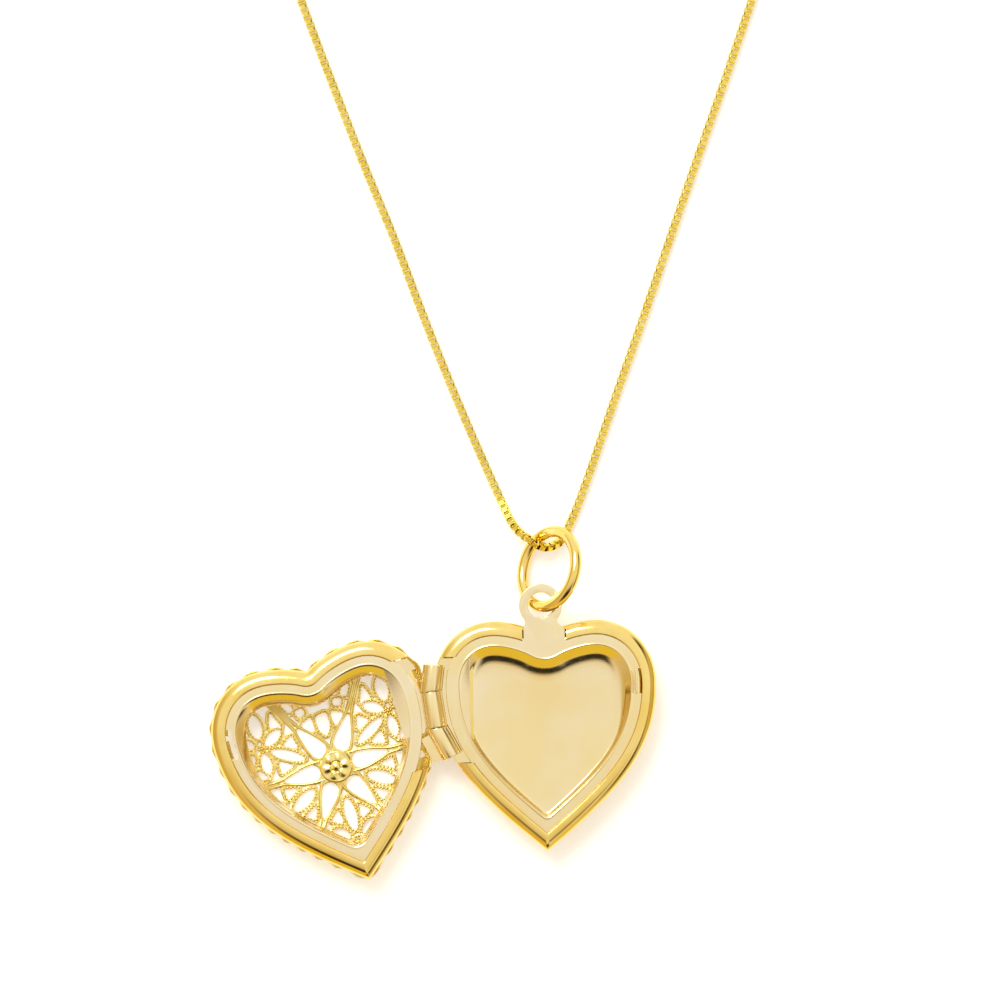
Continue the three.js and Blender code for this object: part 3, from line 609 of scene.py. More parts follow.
def build_chain():
    pitch = LINK_LONG - 2 * LINK_WALL
    points, length, line = chain_path(pitch)
    shape, link_faces = link_mesh()
    verts, faces = [], []
    ring_x = BACK_TIP.x
    for i, point in enumerate(points):
        before, after = points[max(i - 1, 0)], points[min(i + 1, len(points) - 1)]
        way = (after - before) / np.linalg.norm(after - before)
        side = np.cross(way, (0, 0, 1))
        side = side / np.linalg.norm(side)
        up = np.cross(side, way)
        near_ring = math.exp(-((point[0] - ring_x) ** 2 + (point[1] + 4.3) ** 2) / 6)
        roll = math.radians(8 + 30 * near_ring) + (i % 2) * math.pi / 2
        turned_side = side * math.cos(roll) + up * math.sin(roll)
        turned_up = up * math.cos(roll) - side * math.sin(roll)
        base = len(verts)
        verts.extend(point + shape @ np.array([way, turned_side, turned_up]))
        faces.extend([tuple(base + k for k in face) for face in link_faces])
    obj = new_object("box_chain", verts, faces)
    tidy_normals(obj)
    finish_piece(obj, DESIGN, "necklace_chain", ["chain_strands", "chain_coil", "chain_tail"],
                 LINKS, 25)
    return obj, length, line


chain, chain_length, chain_line = build_chain()


def build_tie():
    """Four turns of thread round the coil's windings."""
    near, far = COIL_INNER - CHAIN_RADIUS - 0.19, COIL_OUTER + CHAIN_RADIUS + 0.19
    low, high = COIL_LOW - CHAIN_RADIUS - 0.12, COIL_HIGH + CHAIN_RADIUS + 0.16
    radius = 0.11
    parts = []
    for turn in range(4):
        offset = (turn - 1.5) * 0.24
        corner = 0.3
        points = []
        for cx, cz, start in ((far - corner, high - corner, 0), (near + corner, high - corner, 90),
                              (near + corner, low + corner, 180), (far - corner, low + corner, 270)):
            for k in range(6):
                angle = math.radians(start + 90 * k / 5)
                points.append((cx + corner * math.cos(angle), offset, cz + corner * math.sin(angle)))
        parts.append(sweep_mesh(points, radius, 10, closed=True))
    obj = new_object("tie_thread", *merged(parts))
    tidy_normals(obj)
    turn = Matrix.Translation((COIL_X, COIL_Y, 0)) @ Matrix.Rotation(math.radians(-70), 4, "Z")
    return finish_piece(obj, DESIGN @ turn, "necklace_chain", ["coil_tie"], THREAD, 60)


tie = build_tie()

# ---------- Back half ----------


def build_back_shell():
    outside = [(4.4, -HALF_DEPTH), (3.1, -3.64), (1.7, -3.15), (0.7, -2.4), (0.15, -1.6)]
    inside_wall = [(0.45, -1.53), (0.95, -2.24), (1.88, -2.9), (3.2, -3.34), (4.4, -3.5)]
    obj = loft("back_shell_skin", outside + LIP + inside_wall, False, 0.2)
    hinge_gap = block((-14, -6.5), (BACK_GAP[0] + 0.4, BACK_GAP[1]), (-1.1, 1))
    bail_gap = block((-2.1, 2.1), (18.6, 24), (-1.1, 1))
    combine(obj, [hinge_gap, bail_gap, block((-0.15, 0.15), (-1, 1.2), (TIP_NOTCH_Z, 1))])
    seat = slab(heart_ring(0.2, 0, 60), -1.22, -1.06)
    combine(seat, [block((-12, -6.9), (BACK_GAP[0] + 0.1, BACK_GAP[1] - 0.1), (-2, 0))], "INTERSECT")
    combine(obj, [seat], "UNION")
    return finish_piece(obj, BACK, "back_half", ["back_shell"], POLISHED)


def arc_points(x, y, radius, start, end, steps):
    return [(x + radius * math.cos(start + (end - start) * i / steps),
             y + radius * math.sin(start + (end - start) * i / steps)) for i in range(steps + 1)]


def bail_tab():
    opening = math.asin(EYE_NECK / EYE_OUTER)
    join_y = EYE_Y - EYE_OUTER * math.cos(opening)
    neck_y = join_y - 0.12
    flare = []
    for i in range(13):
        share = (1 - math.cos(math.pi * i / 12)) / 2
        flare.append((EYE_ROOT + (EYE_NECK - EYE_ROOT) * share, FLARE_Y + (neck_y - FLARE_Y) * i / 12))
    outline = [(-EYE_ROOT, 19.3)] + [(EYE_X * k / 12 - x, y) for k, (x, y) in enumerate(flare)]
    outline += arc_points(EYE_X, EYE_Y, EYE_OUTER, 1.5 * math.pi - opening, -0.5 * math.pi + opening, 64)
    outline += [(EYE_X * k / 12 + x, y) for k, (x, y) in reversed(list(enumerate(flare)))]
    outline.append((EYE_ROOT, 19.3))
    tab = slab(outline, PLATE_BOTTOM + 0.02, PLATE_TOP)
    combine(tab, [bar((EYE_X, EYE_Y, -2), (0, 0, 1), 3, EYE_HOLE, 96)])
    return soften(tab, 0.05, 3)


def hinge_flange(side, span):
    """The strip of plate that runs out to the hinge where the lip is cut away."""
    strip = slab(heart_ring(0.2, 0, 60), PLATE_BOTTOM + 0.03, PLATE_TOP - 0.03)
    near, far = HALF_WIDTH - FLANGE_REACH, HALF_WIDTH + 1
    reach = (near, far) if side > 0 else (-far, -near)
    return combine(strip, [block(reach, span, (-1, 0))], "INTERSECT")


def hinge_line(side):
    up = Vector((side * math.sin(HINGE_LEAN), math.cos(HINGE_LEAN), 0))
    return Vector((side * HINGE_X, HINGE_Y, 0)), up


def hinge_rooms(side, clear=0.12):
    """Room for what turns on the hinge line, and for the two outer knuckles, which bend away from it."""
    at, up = hinge_line(side)
    rooms = [bar(at - up * (MIDDLE / 2 + LOWER), up, MIDDLE + UPPER + LOWER, KNUCKLE + clear)]
    for end, length, bend in ((1, UPPER, UPPER_BEND), (-1, LOWER, LOWER_BEND)):
        way = up * end
        way.rotate(Matrix.Rotation(side * end * bend, 3, "Z"))
        rooms.append(bar(at + up * end * MIDDLE / 2, way, length + 0.15, KNUCKLE + clear))
    return rooms


def build_back_plate():
    section = [
        (4.4, PAN_FLOOR - 0.3, 0), (2.9, PAN_FLOOR - 0.3, 0.5), (2.55, PAN_FLOOR - 0.15, 0.5),
        (2.38, PLATE_BOTTOM, PAN_TIP), (PLATE_INSET, PLATE_BOTTOM, 0.2), (PLATE_INSET, PLATE_TOP, 0.2),
        (2.22, PLATE_TOP, PAN_TIP), (2.36, PLATE_TOP + 0.05, PAN_TIP), (2.46, PLATE_TOP - 0.02, PAN_TIP),
        (2.56, -1.12, 0.5, 0.75), (2.66, -1.34, 0.45, 1.2), (2.8, -1.42, 0.42, 1.6), (3.1, -1.44, 0.3, 1.8),
    ]
    obj = loft("back_plate_skin", section, False, 0.16, hub=PAN_FLOOR - 0.23)
    span = (CATCH_Y - CATCH_HEIGHT / 2, CATCH_Y + CATCH_HEIGHT / 2)
    combine(obj, [bail_tab(), hinge_flange(-1, BACK_FLANGE)], "UNION")
    combine(obj, [block(SLOT, span, (-2, 1))] + hinge_rooms(-1))
    ear = soften(block(EAR, span, (PLATE_BOTTOM + 0.02, EAR_TOP)), 0.06, 3)
    tongue = block((0, TONGUE), span, (-TONGUE_THICK / 2, TONGUE_THICK / 2))
    dip = Matrix.Translation((SLOT[0] - 0.1, 0, TONGUE_Z)) @ Matrix.Rotation(TONGUE_DIP, 4, "Y")
    tongue.data.transform(dip)
    combine(obj, [ear, tongue], "UNION")
    return finish_piece(obj, BACK, "back_half", ["back_plate"], PLATE)


build_back_shell()
build_back_plate()

# ---------- Front half ----------


def build_front_rim():
    obj = loft("front_rim_skin", LIP + [(0.3, -1.45), (0, -1.45)], True, 0.2)
    combine(obj, [block((6.5, 14), FRONT_GAP, (-3, 1)), block((-0.1, 0.1), (-1, 1.2), (TIP_NOTCH_Z, 1))])
    return finish_piece(obj, FRONT, "front_half", ["front_rim"], POLISHED)


def build_front_plate():
    section = [
        (PLATE_INSET, PLATE_BOTTOM, 0.2), (PLATE_INSET, PLATE_TOP, 0.2), (2.12, PLATE_TOP, WINDOW_TIP),
        (2.26, PLATE_TOP + 0.04, WINDOW_TIP), (2.42, PLATE_TOP - 0.12, WINDOW_TIP, 0.1),
        (2.6, -0.95, WINDOW_TIP, 0.4), (2.85, -1.4, WINDOW_TIP, 0.6), (2.65, -1.42, WINDOW_TIP, 0.55),
        (2.38, -1.0, WINDOW_TIP, 0.3), (2.2, PLATE_BOTTOM, WINDOW_TIP),
    ]
    obj = loft("front_plate_skin", section, True, 0.12)
    span = (CATCH_Y - CATCH_HEIGHT / 2 - 0.3, CATCH_Y + CATCH_HEIGHT / 2 + 0.3)
    combine(obj, [hinge_flange(1, FRONT_FLANGE)], "UNION")
    combine(obj, [block((-NOTCH[1], -NOTCH[0]), span, (-1, 1))] + hinge_rooms(1))
    return finish_piece(obj, FRONT, "front_half", ["front_plate"], PLATE)


build_front_rim()
build_front_plate()

# ---------- Pierced cover ----------

BEAD, BEAD_PITCH, BEAD_APART, RIB = 0.15, 0.33, 0.27, 0.14
HOLE_GROW, WEB, SCALLOP, SCALLOPS = 0.1, 0.3, 0.1, 34
RIM_BAND, HUB, LOBE_STAR, GRID_STEP = 0.9, 1.75, 7.35, 0.08
SHELL_INSETS = [-0.2, 0.16, 0.55, 1.7, 3.15, 4.4]
SHELL_HEIGHTS = [-1.62, -1.76, -2.24, -2.95, -3.44, -3.6]


def polar(radius, degrees):
    angle = math.radians(degrees)
    return (radius * math.cos(angle), STAR_Y + radius * math.sin(angle))


def petal(x, y, length, width, degrees, steps=24, blunt=0.75):
    """A pointed oval hole, centred at x, y."""
    angle = math.radians(degrees)
    out = []
    for i in range(steps):
        t = 2 * math.pi * i / steps
        u = length / 2 * math.cos(t)
        v = width / 2 * math.copysign(abs(math.sin(t)) ** (2 - blunt), math.sin(t))
        out.append((x + u * math.cos(angle) - v * math.sin(angle),
                    y + u * math.sin(angle) + v * math.cos(angle)))
    return out


def rounded_polygon(corners, radius=0.16, steps=3):
    corners = [np.array(c, float) for c in corners]
    out = []
    for i, corner in enumerate(corners):
        a, b = corners[i - 1] - corner, corners[(i + 1) % len(corners)] - corner
        start = corner + a * min(0.45, radius / np.linalg.norm(a))
        end = corner + b * min(0.45, radius / np.linalg.norm(b))
        out += corner_curve(start, corner, end, steps)
    return out


def teardrop(degrees, near=1.68, far=5.05, width=0.77):
    """A hole with its round end near the rosette and a blunt point outward."""
    out = []
    neck = near + width
    for i in range(13):
        t = math.pi / 2 + math.pi * i / 12
        out.append((neck + width * math.cos(t), width * math.sin(t)))
    for u, v in ((0.35, -0.86), (0.7, -0.5), (1.0, -0.2), (1.03, 0), (1.0, 0.2), (0.7, 0.5), (0.35, 0.86)):
        out.append((neck + (far - neck) * u, width * v))
    angle = math.radians(degrees)
    return [(x * math.cos(angle) - y * math.sin(angle), STAR_Y + x * math.sin(angle) + y * math.cos(angle))
            for x, y in out]


def mirrored_pair(degrees, corners):
    """A polygon of (radius, degrees off the fan's middle line) and its mirror image."""
    return [rounded_polygon([polar(r, degrees + side * off) for r, off in corners]) for side in (-1, 1)]


def leaf(degrees, near, far, width):
    x, y = polar((near + far) / 2, degrees)
    return petal(x, y, far - near, width, degrees)


def lobe_fan(degrees):
    """A fan that ends in a six-petalled star in an upper lobe."""
    beaded = [leaf(degrees, 3.1, 6.45, 0.85)]
    node_x, node_y = polar(LOBE_STAR, degrees)
    for turn, far, length, width in ((-120, 1.5, 2.0, 0.9), (120, 1.5, 2.0, 0.9), (-60, 2.2, 2.3, 1.15),
                                     (60, 2.2, 2.3, 1.15), (0, 1.5, 1.5, 0.8)):
        angle = math.radians(degrees + turn)
        beaded.append(petal(node_x + far * math.cos(angle), node_y + far * math.sin(angle),
                            length, width, degrees + turn))
    beaded += mirrored_pair(degrees, ((5.3, 21), (5.5, 8.9), (4.1, 12.6)))
    beaded += mirrored_pair(degrees, ((8.2, 25.5), (7.5, 17), (6.5, 22.5)))
    return beaded


def side_fan(degrees):
    beaded = [leaf(degrees, 3.1, 5.9, 1.1)]
    beaded += mirrored_pair(degrees, ((4.2, 16.5), (5.5, 22.5), (5.65, 11.5)))
    for side in (-1, 1):
        x, y = polar(7.1, degrees + side * 9)
        beaded.append(petal(x, y, 1.5, 0.8, degrees))
    return beaded


def foot_fan(degrees):
    beaded = [leaf(degrees, 3.2, 6.4, 1.0)]
    beaded += mirrored_pair(degrees, ((4.2, 14), (5.3, 21.7), (5.55, 10)))
    for side in (-1, 1):
        x, y = polar(6.55, degrees + side * 12)
        beaded.append(petal(x, y, 1.75, 0.95, degrees + side * 124))
    beaded.append(leaf(degrees, 7.2, 8.6, 0.8))
    return beaded


def cleft_fan(degrees):
    beaded = [rounded_polygon([polar(3.05, degrees), polar(3.9, degrees + 8.5), polar(5.15, degrees + 7),
                               polar(5.35, degrees - 6), polar(4.1, degrees - 8.5)], 0.35, 5)]
    beaded += mirrored_pair(degrees, ((5.35, 11), (5.25, 23), (4.2, 21.5), (4.0, 15.5)))
    beaded += mirrored_pair(degrees, ((6.5, 14), (6.6, 21), (5.9, 21), (5.9, 14)))
    beaded += mirrored_pair(degrees, ((7.9, 21.5), (8.0, 25.5), (6.8, 25), (7.1, 20)))
    return beaded


def border_holes():
    ring = heart_ring(1.15, 0, 26)
    out = []
    for i in range(0, len(ring), 2):
        way = ring[(i + 1) % len(ring)] - ring[i - 1]
        degrees = math.degrees(math.atan2(way[1], way[0])) + 90
        out.append(petal(ring[i][0], ring[i][1], 0.95, 0.6, degrees, 12, 1))
    return out


def distance_to(points, line, closed=True):
    """Distance from each point to a line of points."""
    ends = np.roll(line, -1, axis=0) if closed else line[1:]
    starts = line if closed else line[:-1]
    best = np.full(len(points), 1e9)
    for a, b in zip(starts, ends):
        ab = b - a
        t = np.clip(((points - a) @ ab) / max(ab @ ab, 1e-12), 0, 1)
        gap = points - (a + t[:, None] * ab)
        best = np.minimum(best, np.hypot(gap[:, 0], gap[:, 1]))
    return best


def inside(points, line):
    hit = np.zeros(len(points), bool)
    x, y = points[:, 0], points[:, 1]
    for (ax, ay), (bx, by) in zip(line, np.roll(line, -1, axis=0)):
        if ay == by:
            continue
        crosses = (ay > y) != (by > y)
        hit ^= crosses & (x < (bx - ax) * (y - ay) / (by - ay) + ax)
    return hit


def signed(points, line):
    gap = distance_to(points, line)
    return np.where(inside(points, line), gap, -gap)


def shell_height(points):
    """Height of the cover's middle surface at points of the heart's plane."""
    depth = signed(points, heart_ring(0, 0, 60))
    return np.interp(depth, SHELL_INSETS, SHELL_HEIGHTS)


def clipped_cells(field, xs, ys):
    """Polygons covering where the field is positive, as grid points and points on grid edges."""
    keys, polygons = {}, []
    rows, columns = field.shape

    def number(key):
        return keys.setdefault(key, len(keys))

    positive = field > 0
    for j in range(rows - 1):
        for i in range(columns - 1):
            if not (positive[j, i] or positive[j, i + 1] or positive[j + 1, i] or positive[j + 1, i + 1]):
                continue
            corners = ((j, i), (j, i + 1), (j + 1, i + 1), (j + 1, i))
            polygon = []
            for k, corner in enumerate(corners):
                after = corners[(k + 1) % 4]
                if positive[corner]:
                    polygon.append(number((corner, corner)))
                if positive[corner] != positive[after]:
                    polygon.append(number((min(corner, after), max(corner, after))))
            if len(polygon) > 2:
                polygons.append(tuple(polygon))
    points, values = [], []
    for a, b in keys:
        fa, fb = field[a], field[b]
        t = 0 if a == b else fa / (fa - fb)
        points.append((xs[a[1]] + (xs[b[1]] - xs[a[1]]) * t, ys[a[0]] + (ys[b[0]] - ys[a[0]]) * t))
        values.append(fa if a == b else 0.0)
    return np.array(points), np.array(values), polygons


def beads_along(line, spacing, offset):
    """Small round beads along a hole's outline, just outside it."""
    line = np.array(line)
    area = np.sum(line[:, 0] * np.roll(line[:, 1], -1) - line[:, 1] * np.roll(line[:, 0], -1))
    way = np.roll(line, -1, axis=0) - np.roll(line, 1, axis=0)
    out = np.column_stack([way[:, 1], -way[:, 0]]) * math.copysign(1, area)
    out = out / np.linalg.norm(out, axis=1)[:, None]
    ring = line + out * offset
    closed = np.concatenate([ring, ring[:1]])
    count = max(6, int(np.sum(np.linalg.norm(np.diff(closed, axis=0), axis=1)) / spacing))
    return evenly(closed, count)[:-1]


def rib_lines():
    """Smooth ribs: a pair beside each round-ended hole, which close up beyond its point."""
    window = heart_ring(0.9, 0, 60)
    course = [(1.72, 33), (2.0, 27.5), (2.45, 22.5), (3.2, 15.6), (4.0, 9.4), (4.7, 5.4), (5.2, 2.9),
              (6.2, 1.7), (9.5, 1.15)]
    out = []
    for k in range(6):
        for side in (-1, 1):
            line = evenly(np.array([polar(r, 60 * k + side * off) for r, off in course]), 40)
            out.append(line[signed(line, window) > 0])
    return out


def ball_mesh(radius):
    work = bmesh.new()
    bmesh.ops.create_icosphere(work, subdivisions=2, radius=radius)
    verts = np.array([v.co[:] for v in work.verts])
    faces = [tuple(v.index for v in face.verts) for face in work.faces]
    work.free()
    return verts, faces


def close_to(grid, line, margin=0.6):
    """Which points of the grid lie near the box round a line."""
    return np.all((grid > line.min(axis=0) - margin) & (grid < line.max(axis=0) + margin), axis=1)


def cover_field(grid, rim, smooth_holes, beaded):
    """How far each grid point lies inside the metal: the rim band, hub, ribs and borders of the holes."""
    borders = border_holes()
    field = signed(grid, rim)
    around = np.arctan2(grid[:, 1] - CENTRE_Y, grid[:, 0])
    field += SCALLOP * np.cos(around * SCALLOPS)
    middle = signed(grid, heart_ring(0.62, 0, 60))
    solid = np.maximum(RIM_BAND - middle, HUB - np.hypot(grid[:, 0], grid[:, 1] - STAR_Y))
    for line in rib_lines():
        near = close_to(grid, line)
        solid[near] = np.maximum(solid[near], RIB + 0.06 - distance_to(grid[near], line, False))
    for holes, grow in ((smooth_holes, 0.05), (beaded, HOLE_GROW), (borders, 0.0)):
        for hole in holes:
            line = np.array(hole)
            near = close_to(grid, line)
            gap = -signed(grid[near], line) - grow
            if holes is not borders:
                solid[near] = np.maximum(solid[near], WEB - gap)
                gap = np.maximum(gap, RIM_BAND - middle[near])
            field[near] = np.minimum(field[near], gap)
    return np.minimum(field, solid)


def cover_sheet(rim, smooth_holes, beaded):
    """The pierced sheet, thinner at its cut edges."""
    xs = np.arange(-11.3, 11.3, GRID_STEP)
    ys = np.arange(-0.7, 22.9, GRID_STEP)
    grid = np.array([(x, y) for y in ys for x in xs])
    field = cover_field(grid, rim, smooth_holes, beaded)
    points, values, polygons = clipped_cells(field.reshape(len(ys), len(xs)), xs, ys)
    heights = shell_height(points)
    edge = np.clip(values / 0.14, 0, 1)
    half = 0.03 + 0.05 * np.sqrt(1 - (1 - edge) ** 2)
    count = len(points)
    top = np.column_stack([points, heights + half])
    bottom = np.column_stack([points, heights - half])
    faces = list(polygons) + [tuple(count + k for k in reversed(p)) for p in polygons]
    edges = {}
    for polygon in polygons:
        edges.update(dict.fromkeys(zip(polygon, polygon[1:] + polygon[:1])))
    for a, b in edges:
        if (b, a) not in edges:
            faces.append((b, a, count + a, count + b))
    return [tuple(v) for v in np.concatenate([top, bottom])], faces


def bead_spots(rim, smooth_holes, beaded):
    """Places for the beads, clear of the holes, the ribs and each other."""
    rows = [beads_along(hole, BEAD_PITCH, HOLE_GROW + 0.2 * BEAD) for hole in beaded]
    rows.append(beads_along(heart_ring(0.42, 0, 90), BEAD_PITCH, 0.0))
    spots = np.concatenate(rows)
    keep = signed(spots, rim) > 0.2
    for hole in smooth_holes + beaded:
        keep &= -signed(spots, np.array(hole)) > 0.06
    for line in rib_lines():
        keep &= distance_to(spots, line, False) > RIB + 0.5 * BEAD
    taken = []
    for spot in spots[keep]:
        if all((spot[0] - other[0]) ** 2 + (spot[1] - other[1]) ** 2 > BEAD_APART ** 2 for other in taken):
            taken.append(spot)
    return np.array(taken)


def build_filigree():
    smooth_holes = [teardrop(60 * k) for k in range(6)]
    beaded = lobe_fan(30) + lobe_fan(150) + side_fan(-30) + side_fan(210) + foot_fan(270) + cleft_fan(90)
    rim = heart_ring(-0.12, 0, 120)
    parts = [cover_sheet(rim, smooth_holes, beaded)]
    ball_verts, ball_faces = ball_mesh(BEAD)
    spots = bead_spots(rim, smooth_holes, beaded)
    for (x, y), z in zip(spots, shell_height(spots)):
        parts.append(([tuple(v) for v in ball_verts + np.array([x, y, z + 0.05])], ball_faces))
    for line in rib_lines():
        parts.append(sweep_mesh(np.column_stack([line, shell_height(line) + 0.05]), RIB, 12))
    for degrees in (30, 150):
        x, y = polar(LOBE_STAR, degrees)
        z = shell_height(np.array([(x, y)]))[0]
        for k in range(6):
            angle = math.radians(60 * k)
            at = np.array([x + 0.27 * math.cos(angle), y + 0.27 * math.sin(angle), z + 0.06])
            parts.append(([tuple(v) for v in ball_verts + at], ball_faces))
        parts.append(([tuple(v) for v in ball_verts * 1.2 + np.array([x, y, z + 0.12])], ball_faces))
    obj = new_object("filigree_skin", *merged(parts))
    return finish_piece(obj, FRONT, "front_half", ["filigree_cover"], PIERCED, 60)


def build_rosette():
    """A stamped flower: six petals round a button, with a raised edge."""
    rings, around = 30, 96
    radius = 1.6
    verts, faces = [], []
    for side in (1, -1):
        for r in range(rings + 1):
            share = r / rings
            for i in range(around):
                angle = 2 * math.pi * i / around
                dome = 0.3 * math.sqrt(max(0, 1 - (share * 0.96) ** 2))
                petals = 0.07 * math.cos(6 * angle) * math.sin(math.pi * min(1, max(0, (share - 0.25) / 0.6)))
                button = 0.1 * math.exp(-(share / 0.16) ** 2) - 0.09 * math.exp(-((share - 0.3) / 0.06) ** 2)
                lip = 0.05 * math.exp(-((share - 0.9) / 0.05) ** 2)
                z = 0.6 - HALF_DEPTH + (dome + petals + button + lip if side > 0 else -0.2)
                verts.append((radius * share * math.cos(angle), STAR_Y + radius * share * math.sin(angle), z))
    size = (rings + 1) * around
    for sheet in (0, size):
        for r in range(rings):
            a, b = sheet + r * around, sheet + (r + 1) * around
            for i in range(around):
                j = (i + 1) % around
                faces.append((a + i, b + i, b + j, a + j) if sheet == 0 else (a + i, a + j, b + j, b + i))
    rim_top, rim_low = rings * around, size + rings * around
    for i in range(around):
        j = (i + 1) % around
        faces.append((rim_top + i, rim_low + i, rim_low + j, rim_top + j))
    obj = new_object("rosette_flower", verts, faces)
    work = bmesh.new()
    work.from_mesh(obj.data)
    bmesh.ops.remove_doubles(work, verts=work.verts, dist=1e-4)
    bmesh.ops.recalc_face_normals(work, faces=work.faces)
    work.to_mesh(obj.data)
    work.free()
    return finish_piece(obj, FRONT, "front_half", ["filigree_rosette"], PIERCED, 50)


build_filigree()
build_rosette()

# ---------- Hinge knuckles, pin and jump ring ----------


def knuckle_leaf(side, start, way, length):
    """The leaf that joins a knuckle to its plate."""
    reach = (-side * LEAF_REACH, 0) if side > 0 else (0, LEAF_REACH)
    leaf_piece = block(reach, (LEAF_MARGIN, length - LEAF_MARGIN),
                       (LEAF_Z - LEAF_THICK / 2, LEAF_Z + LEAF_THICK / 2))
    leaf_piece.data.transform(Matrix.Translation((start.x, start.y, 0)) @ turn_to(way))
    return leaf_piece


def build_outer_knuckle(name, node, end, length, bend):
    at, up = hinge_line(-1)
    joint = at + up * end * (MIDDLE / 2 + KNUCKLE_GAP)
    way = up * end
    way.rotate(Matrix.Rotation(-end * bend, 3, "Z"))
    tube = bar(joint - way * RUN_UP, way, length + RUN_UP, KNUCKLE)
    trim = block((-3, 3), (-3, 0), (-1.6, 1.6))
    trim.data.transform(Matrix.Translation(joint) @ turn_to(up * end))
    combine(tube, [trim])
    combine(tube, [bar(joint + way * (length - MOUTH), way, MOUTH + 0.1, BORE),
                   bar(joint - up * end, up * end, 1 + PIN_REACH + 0.2, BORE)])
    soften(tube, 0.06, 3, 60)
    combine(tube, [knuckle_leaf(-1, joint, way, length)], "UNION")
    tube.name = name
    return finish_piece(tube, BACK, "back_half", [node], KNUCKLE_GOLD)


def build_middle_knuckle():
    at, up = hinge_line(1)
    start = at - up * MIDDLE / 2
    tube = bar(start, up, MIDDLE, KNUCKLE)
    combine(tube, [bar(start - up * 0.5, up, MIDDLE + 1, BORE)])
    soften(tube, 0.06, 3, 60)
    combine(tube, [knuckle_leaf(1, start, up, MIDDLE)], "UNION")
    tube.name = "knuckle_middle"
    return finish_piece(tube, FRONT, "front_half", ["hinge_knuckle_middle"], KNUCKLE_GOLD)


def build_pin():
    at, up = hinge_line(-1)
    length = MIDDLE + 2 * (KNUCKLE_GAP + PIN_REACH)
    rod = soften(bar(at - up * length / 2, up, length, PIN, 48), 0.08, 3, 60)
    rod.name = "pin_rod"
    return finish_piece(rod, BACK, "back_half", ["hinge_pin"], WIRE)


def build_pendant_ring():
    low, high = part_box("pendant_ring")
    centre = (Vector(low) + Vector(high)) / 2 / MM - SHIFT
    along = Vector((math.sin(RING_LEAN), math.cos(RING_LEAN), 0))
    flat = math.cos(RING_TILT)
    across = Vector((math.cos(RING_LEAN) * flat, -math.sin(RING_LEAN) * flat, math.sin(RING_TILT)))
    points = []
    for i in range(128):
        angle = 2 * math.pi * i / 128
        points.append(centre + (along * math.cos(angle) + across * math.sin(angle)) * RING_RADIUS)
    obj = new_object("jump_ring_wire", *sweep_mesh(points, RING_WIRE, 40, closed=True))
    tidy_normals(obj)
    return finish_piece(obj, DESIGN, "jump_ring", ["pendant_ring"], POLISHED, 60)


build_outer_knuckle("knuckle_upper", "hinge_knuckle_upper", 1, UPPER, UPPER_BEND)
build_outer_knuckle("knuckle_lower", "hinge_knuckle_lower", -1, LOWER, LOWER_BEND)
build_middle_knuckle()
build_pin()
build_pendant_ring()

# ---------- CAD nodes that are shown as they are ----------

NODE_LOOKS = {
    "clasp_end_cap": LINKS, "plain_end_cap": LINKS, "clasp_link": LINKS, "end_ring": LINKS,
    "clasp_body": POLISHED, "clasp_bolt": POLISHED, "clasp_spring": WIRE,
}
for node_name, look in NODE_LOOKS.items():
    node = frame["nodes"][node_name]
    node.data.materials.clear()
    node.data.materials.append(look)

# ---------- Table and light ----------


def build_table():
    size = 1.2
    floor = new_object("table", [(-size, -size, 0), (size, -size, 0), (size, size, 0), (-size, size, 0)],
                       [(0, 1, 2, 3)])
    floor.location.z = -0.00005
    material, _, shader = node_material("table_white")
    shader.inputs["Base Color"].default_value = (0.93, 0.91, 0.87, 1)
    shader.inputs["Roughness"].default_value = 0.9
    shader.inputs["Specular IOR Level"].default_value = 0.1
    shader.inputs["Emission Color"].default_value = (1, 1, 1, 1)
    shader.inputs["Emission Strength"].default_value = 0.32
    floor.data.materials.append(material)


STUDIO_WARM, STUDIO_PALE = (0.80, 0.58, 0.26), (0.96, 0.955, 0.95)
STUDIO_BRIGHT, STUDIO_LIT = (1.05, 1.05, 1.07), (1.08, 1.07, 1.04)
SIDE_GOLD, FOOT_GOLD = (0.66, 0.48, 0.18), (0.86, 0.62, 0.06)
CARD_DARK, POST_DARK = (0.03, 0.025, 0.015), (0.10, 0.07, 0.03)


def within(tree, value, start, full, fade, end):
    """One from full to fade, falling away to nothing at start and end."""
    return times(tree, ranged(tree, value, start, full, 0, 1), ranged(tree, value, fade, end, 1, 0))


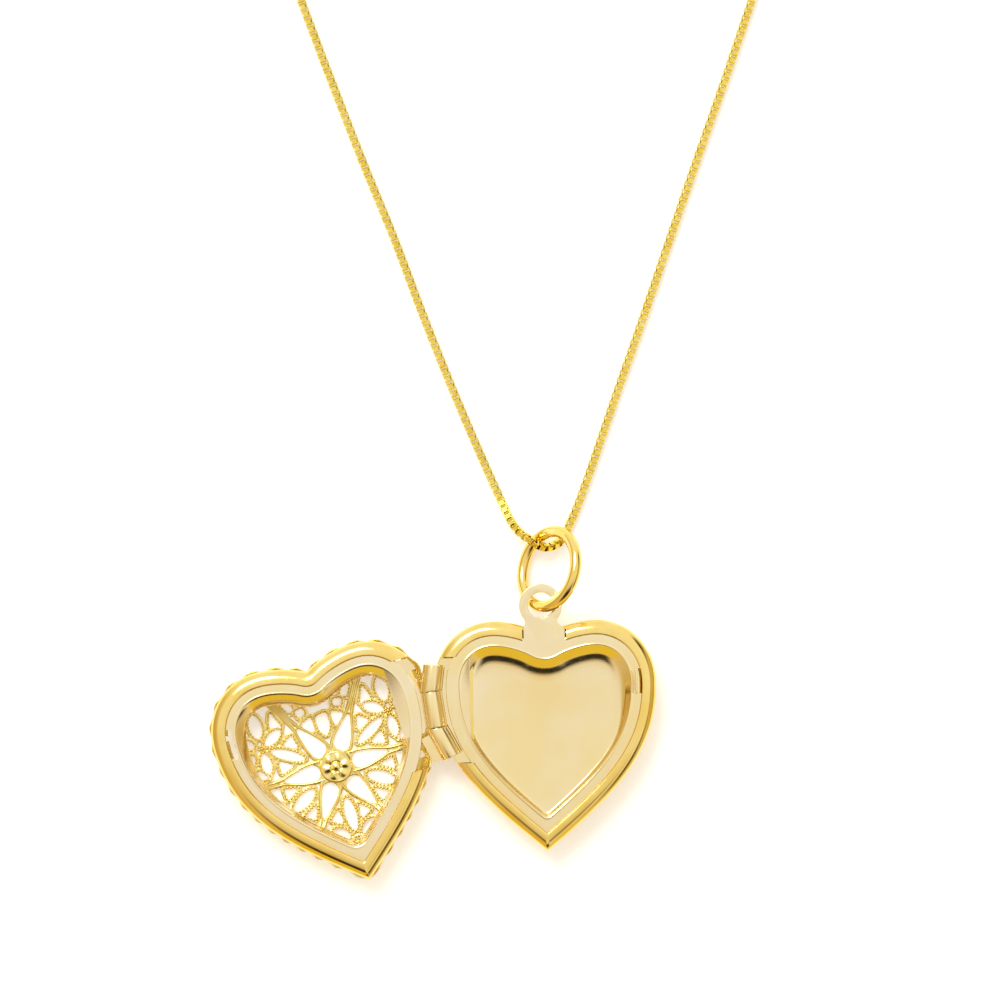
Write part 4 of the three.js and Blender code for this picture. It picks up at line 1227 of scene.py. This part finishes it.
def build_surroundings():
    """A pale studio, warm toward the foot of the picture and golden low at its sides, with one dark
    card over the foot and a small dark post at the right."""
    world = bpy.data.worlds.new("studio")
    bpy.context.scene.world = world
    world.use_nodes = True
    tree = world.node_tree
    background = tree.nodes["Background"]
    coords = tree.nodes.new("ShaderNodeTexCoord")
    split = tree.nodes.new("ShaderNodeSeparateXYZ")
    tree.links.new(coords.outputs["Generated"], split.inputs["Vector"])
    x, y, z = split.outputs["X"], split.outputs["Y"], split.outputs["Z"]
    across = tree.nodes.new("ShaderNodeMath")
    across.operation = "ABSOLUTE"
    tree.links.new(x, across.inputs[0])
    beside = across.outputs["Value"]
    warm = mixed(tree, ranged(tree, y, -0.75, 0.0, 0, 1), STUDIO_WARM, STUDIO_PALE)
    room = mixed(tree, ranged(tree, y, 0.0, 0.7, 0, 1), warm, STUDIO_BRIGHT)
    lit = mixed(tree, ranged(tree, x, 0.05, 0.6, 0, 0.7), room, STUDIO_LIT)
    sides = mixed(tree, ranged(tree, beside, 0.6, 0.98, 0, 1), lit, SIDE_GOLD)
    foot = times(tree, ranged(tree, y, -0.85, -0.6, 1, 0), ranged(tree, z, 0.3, 0.45, 1, 0))
    footed = mixed(tree, foot, sides, FOOT_GOLD)
    ahead = times(tree, ranged(tree, y, -0.45, -0.15, 1, 0), ranged(tree, beside, 0.34, 0.56, 1, 0))
    card = times(tree, within(tree, z, 0.36, 0.48, 0.78, 0.95), ahead)
    carded = mixed(tree, card, footed, CARD_DARK)
    post = times(tree, within(tree, x, 0.6, 0.7, 0.8, 0.9), within(tree, z, 0.2, 0.3, 0.5, 0.62))
    tree.links.new(mixed(tree, post, carded, POST_DARK), background.inputs["Color"])
    background.inputs["Strength"].default_value = 1.0


def build_light(name, at, size, power, tint):
    light = bpy.data.lights.new(name, "AREA")
    light.shape = "SQUARE"
    light.size = size
    light.energy = power
    light.color = tint
    obj = bpy.data.objects.new(name, light)
    obj.location = at
    obj.rotation_euler = (-Vector(at)).to_track_quat("-Z", "Y").to_euler()
    bpy.context.scene.collection.objects.link(obj)


build_table()
build_surroundings()
build_light("key", (-0.25, 0.5, 0.75), 0.4, 4.0, (1.0, 0.98, 0.95))
bpy.context.scene.view_settings.view_transform = "Standard"
bpy.context.scene.view_settings.look = "None"

bpy.context.view_layer.update()
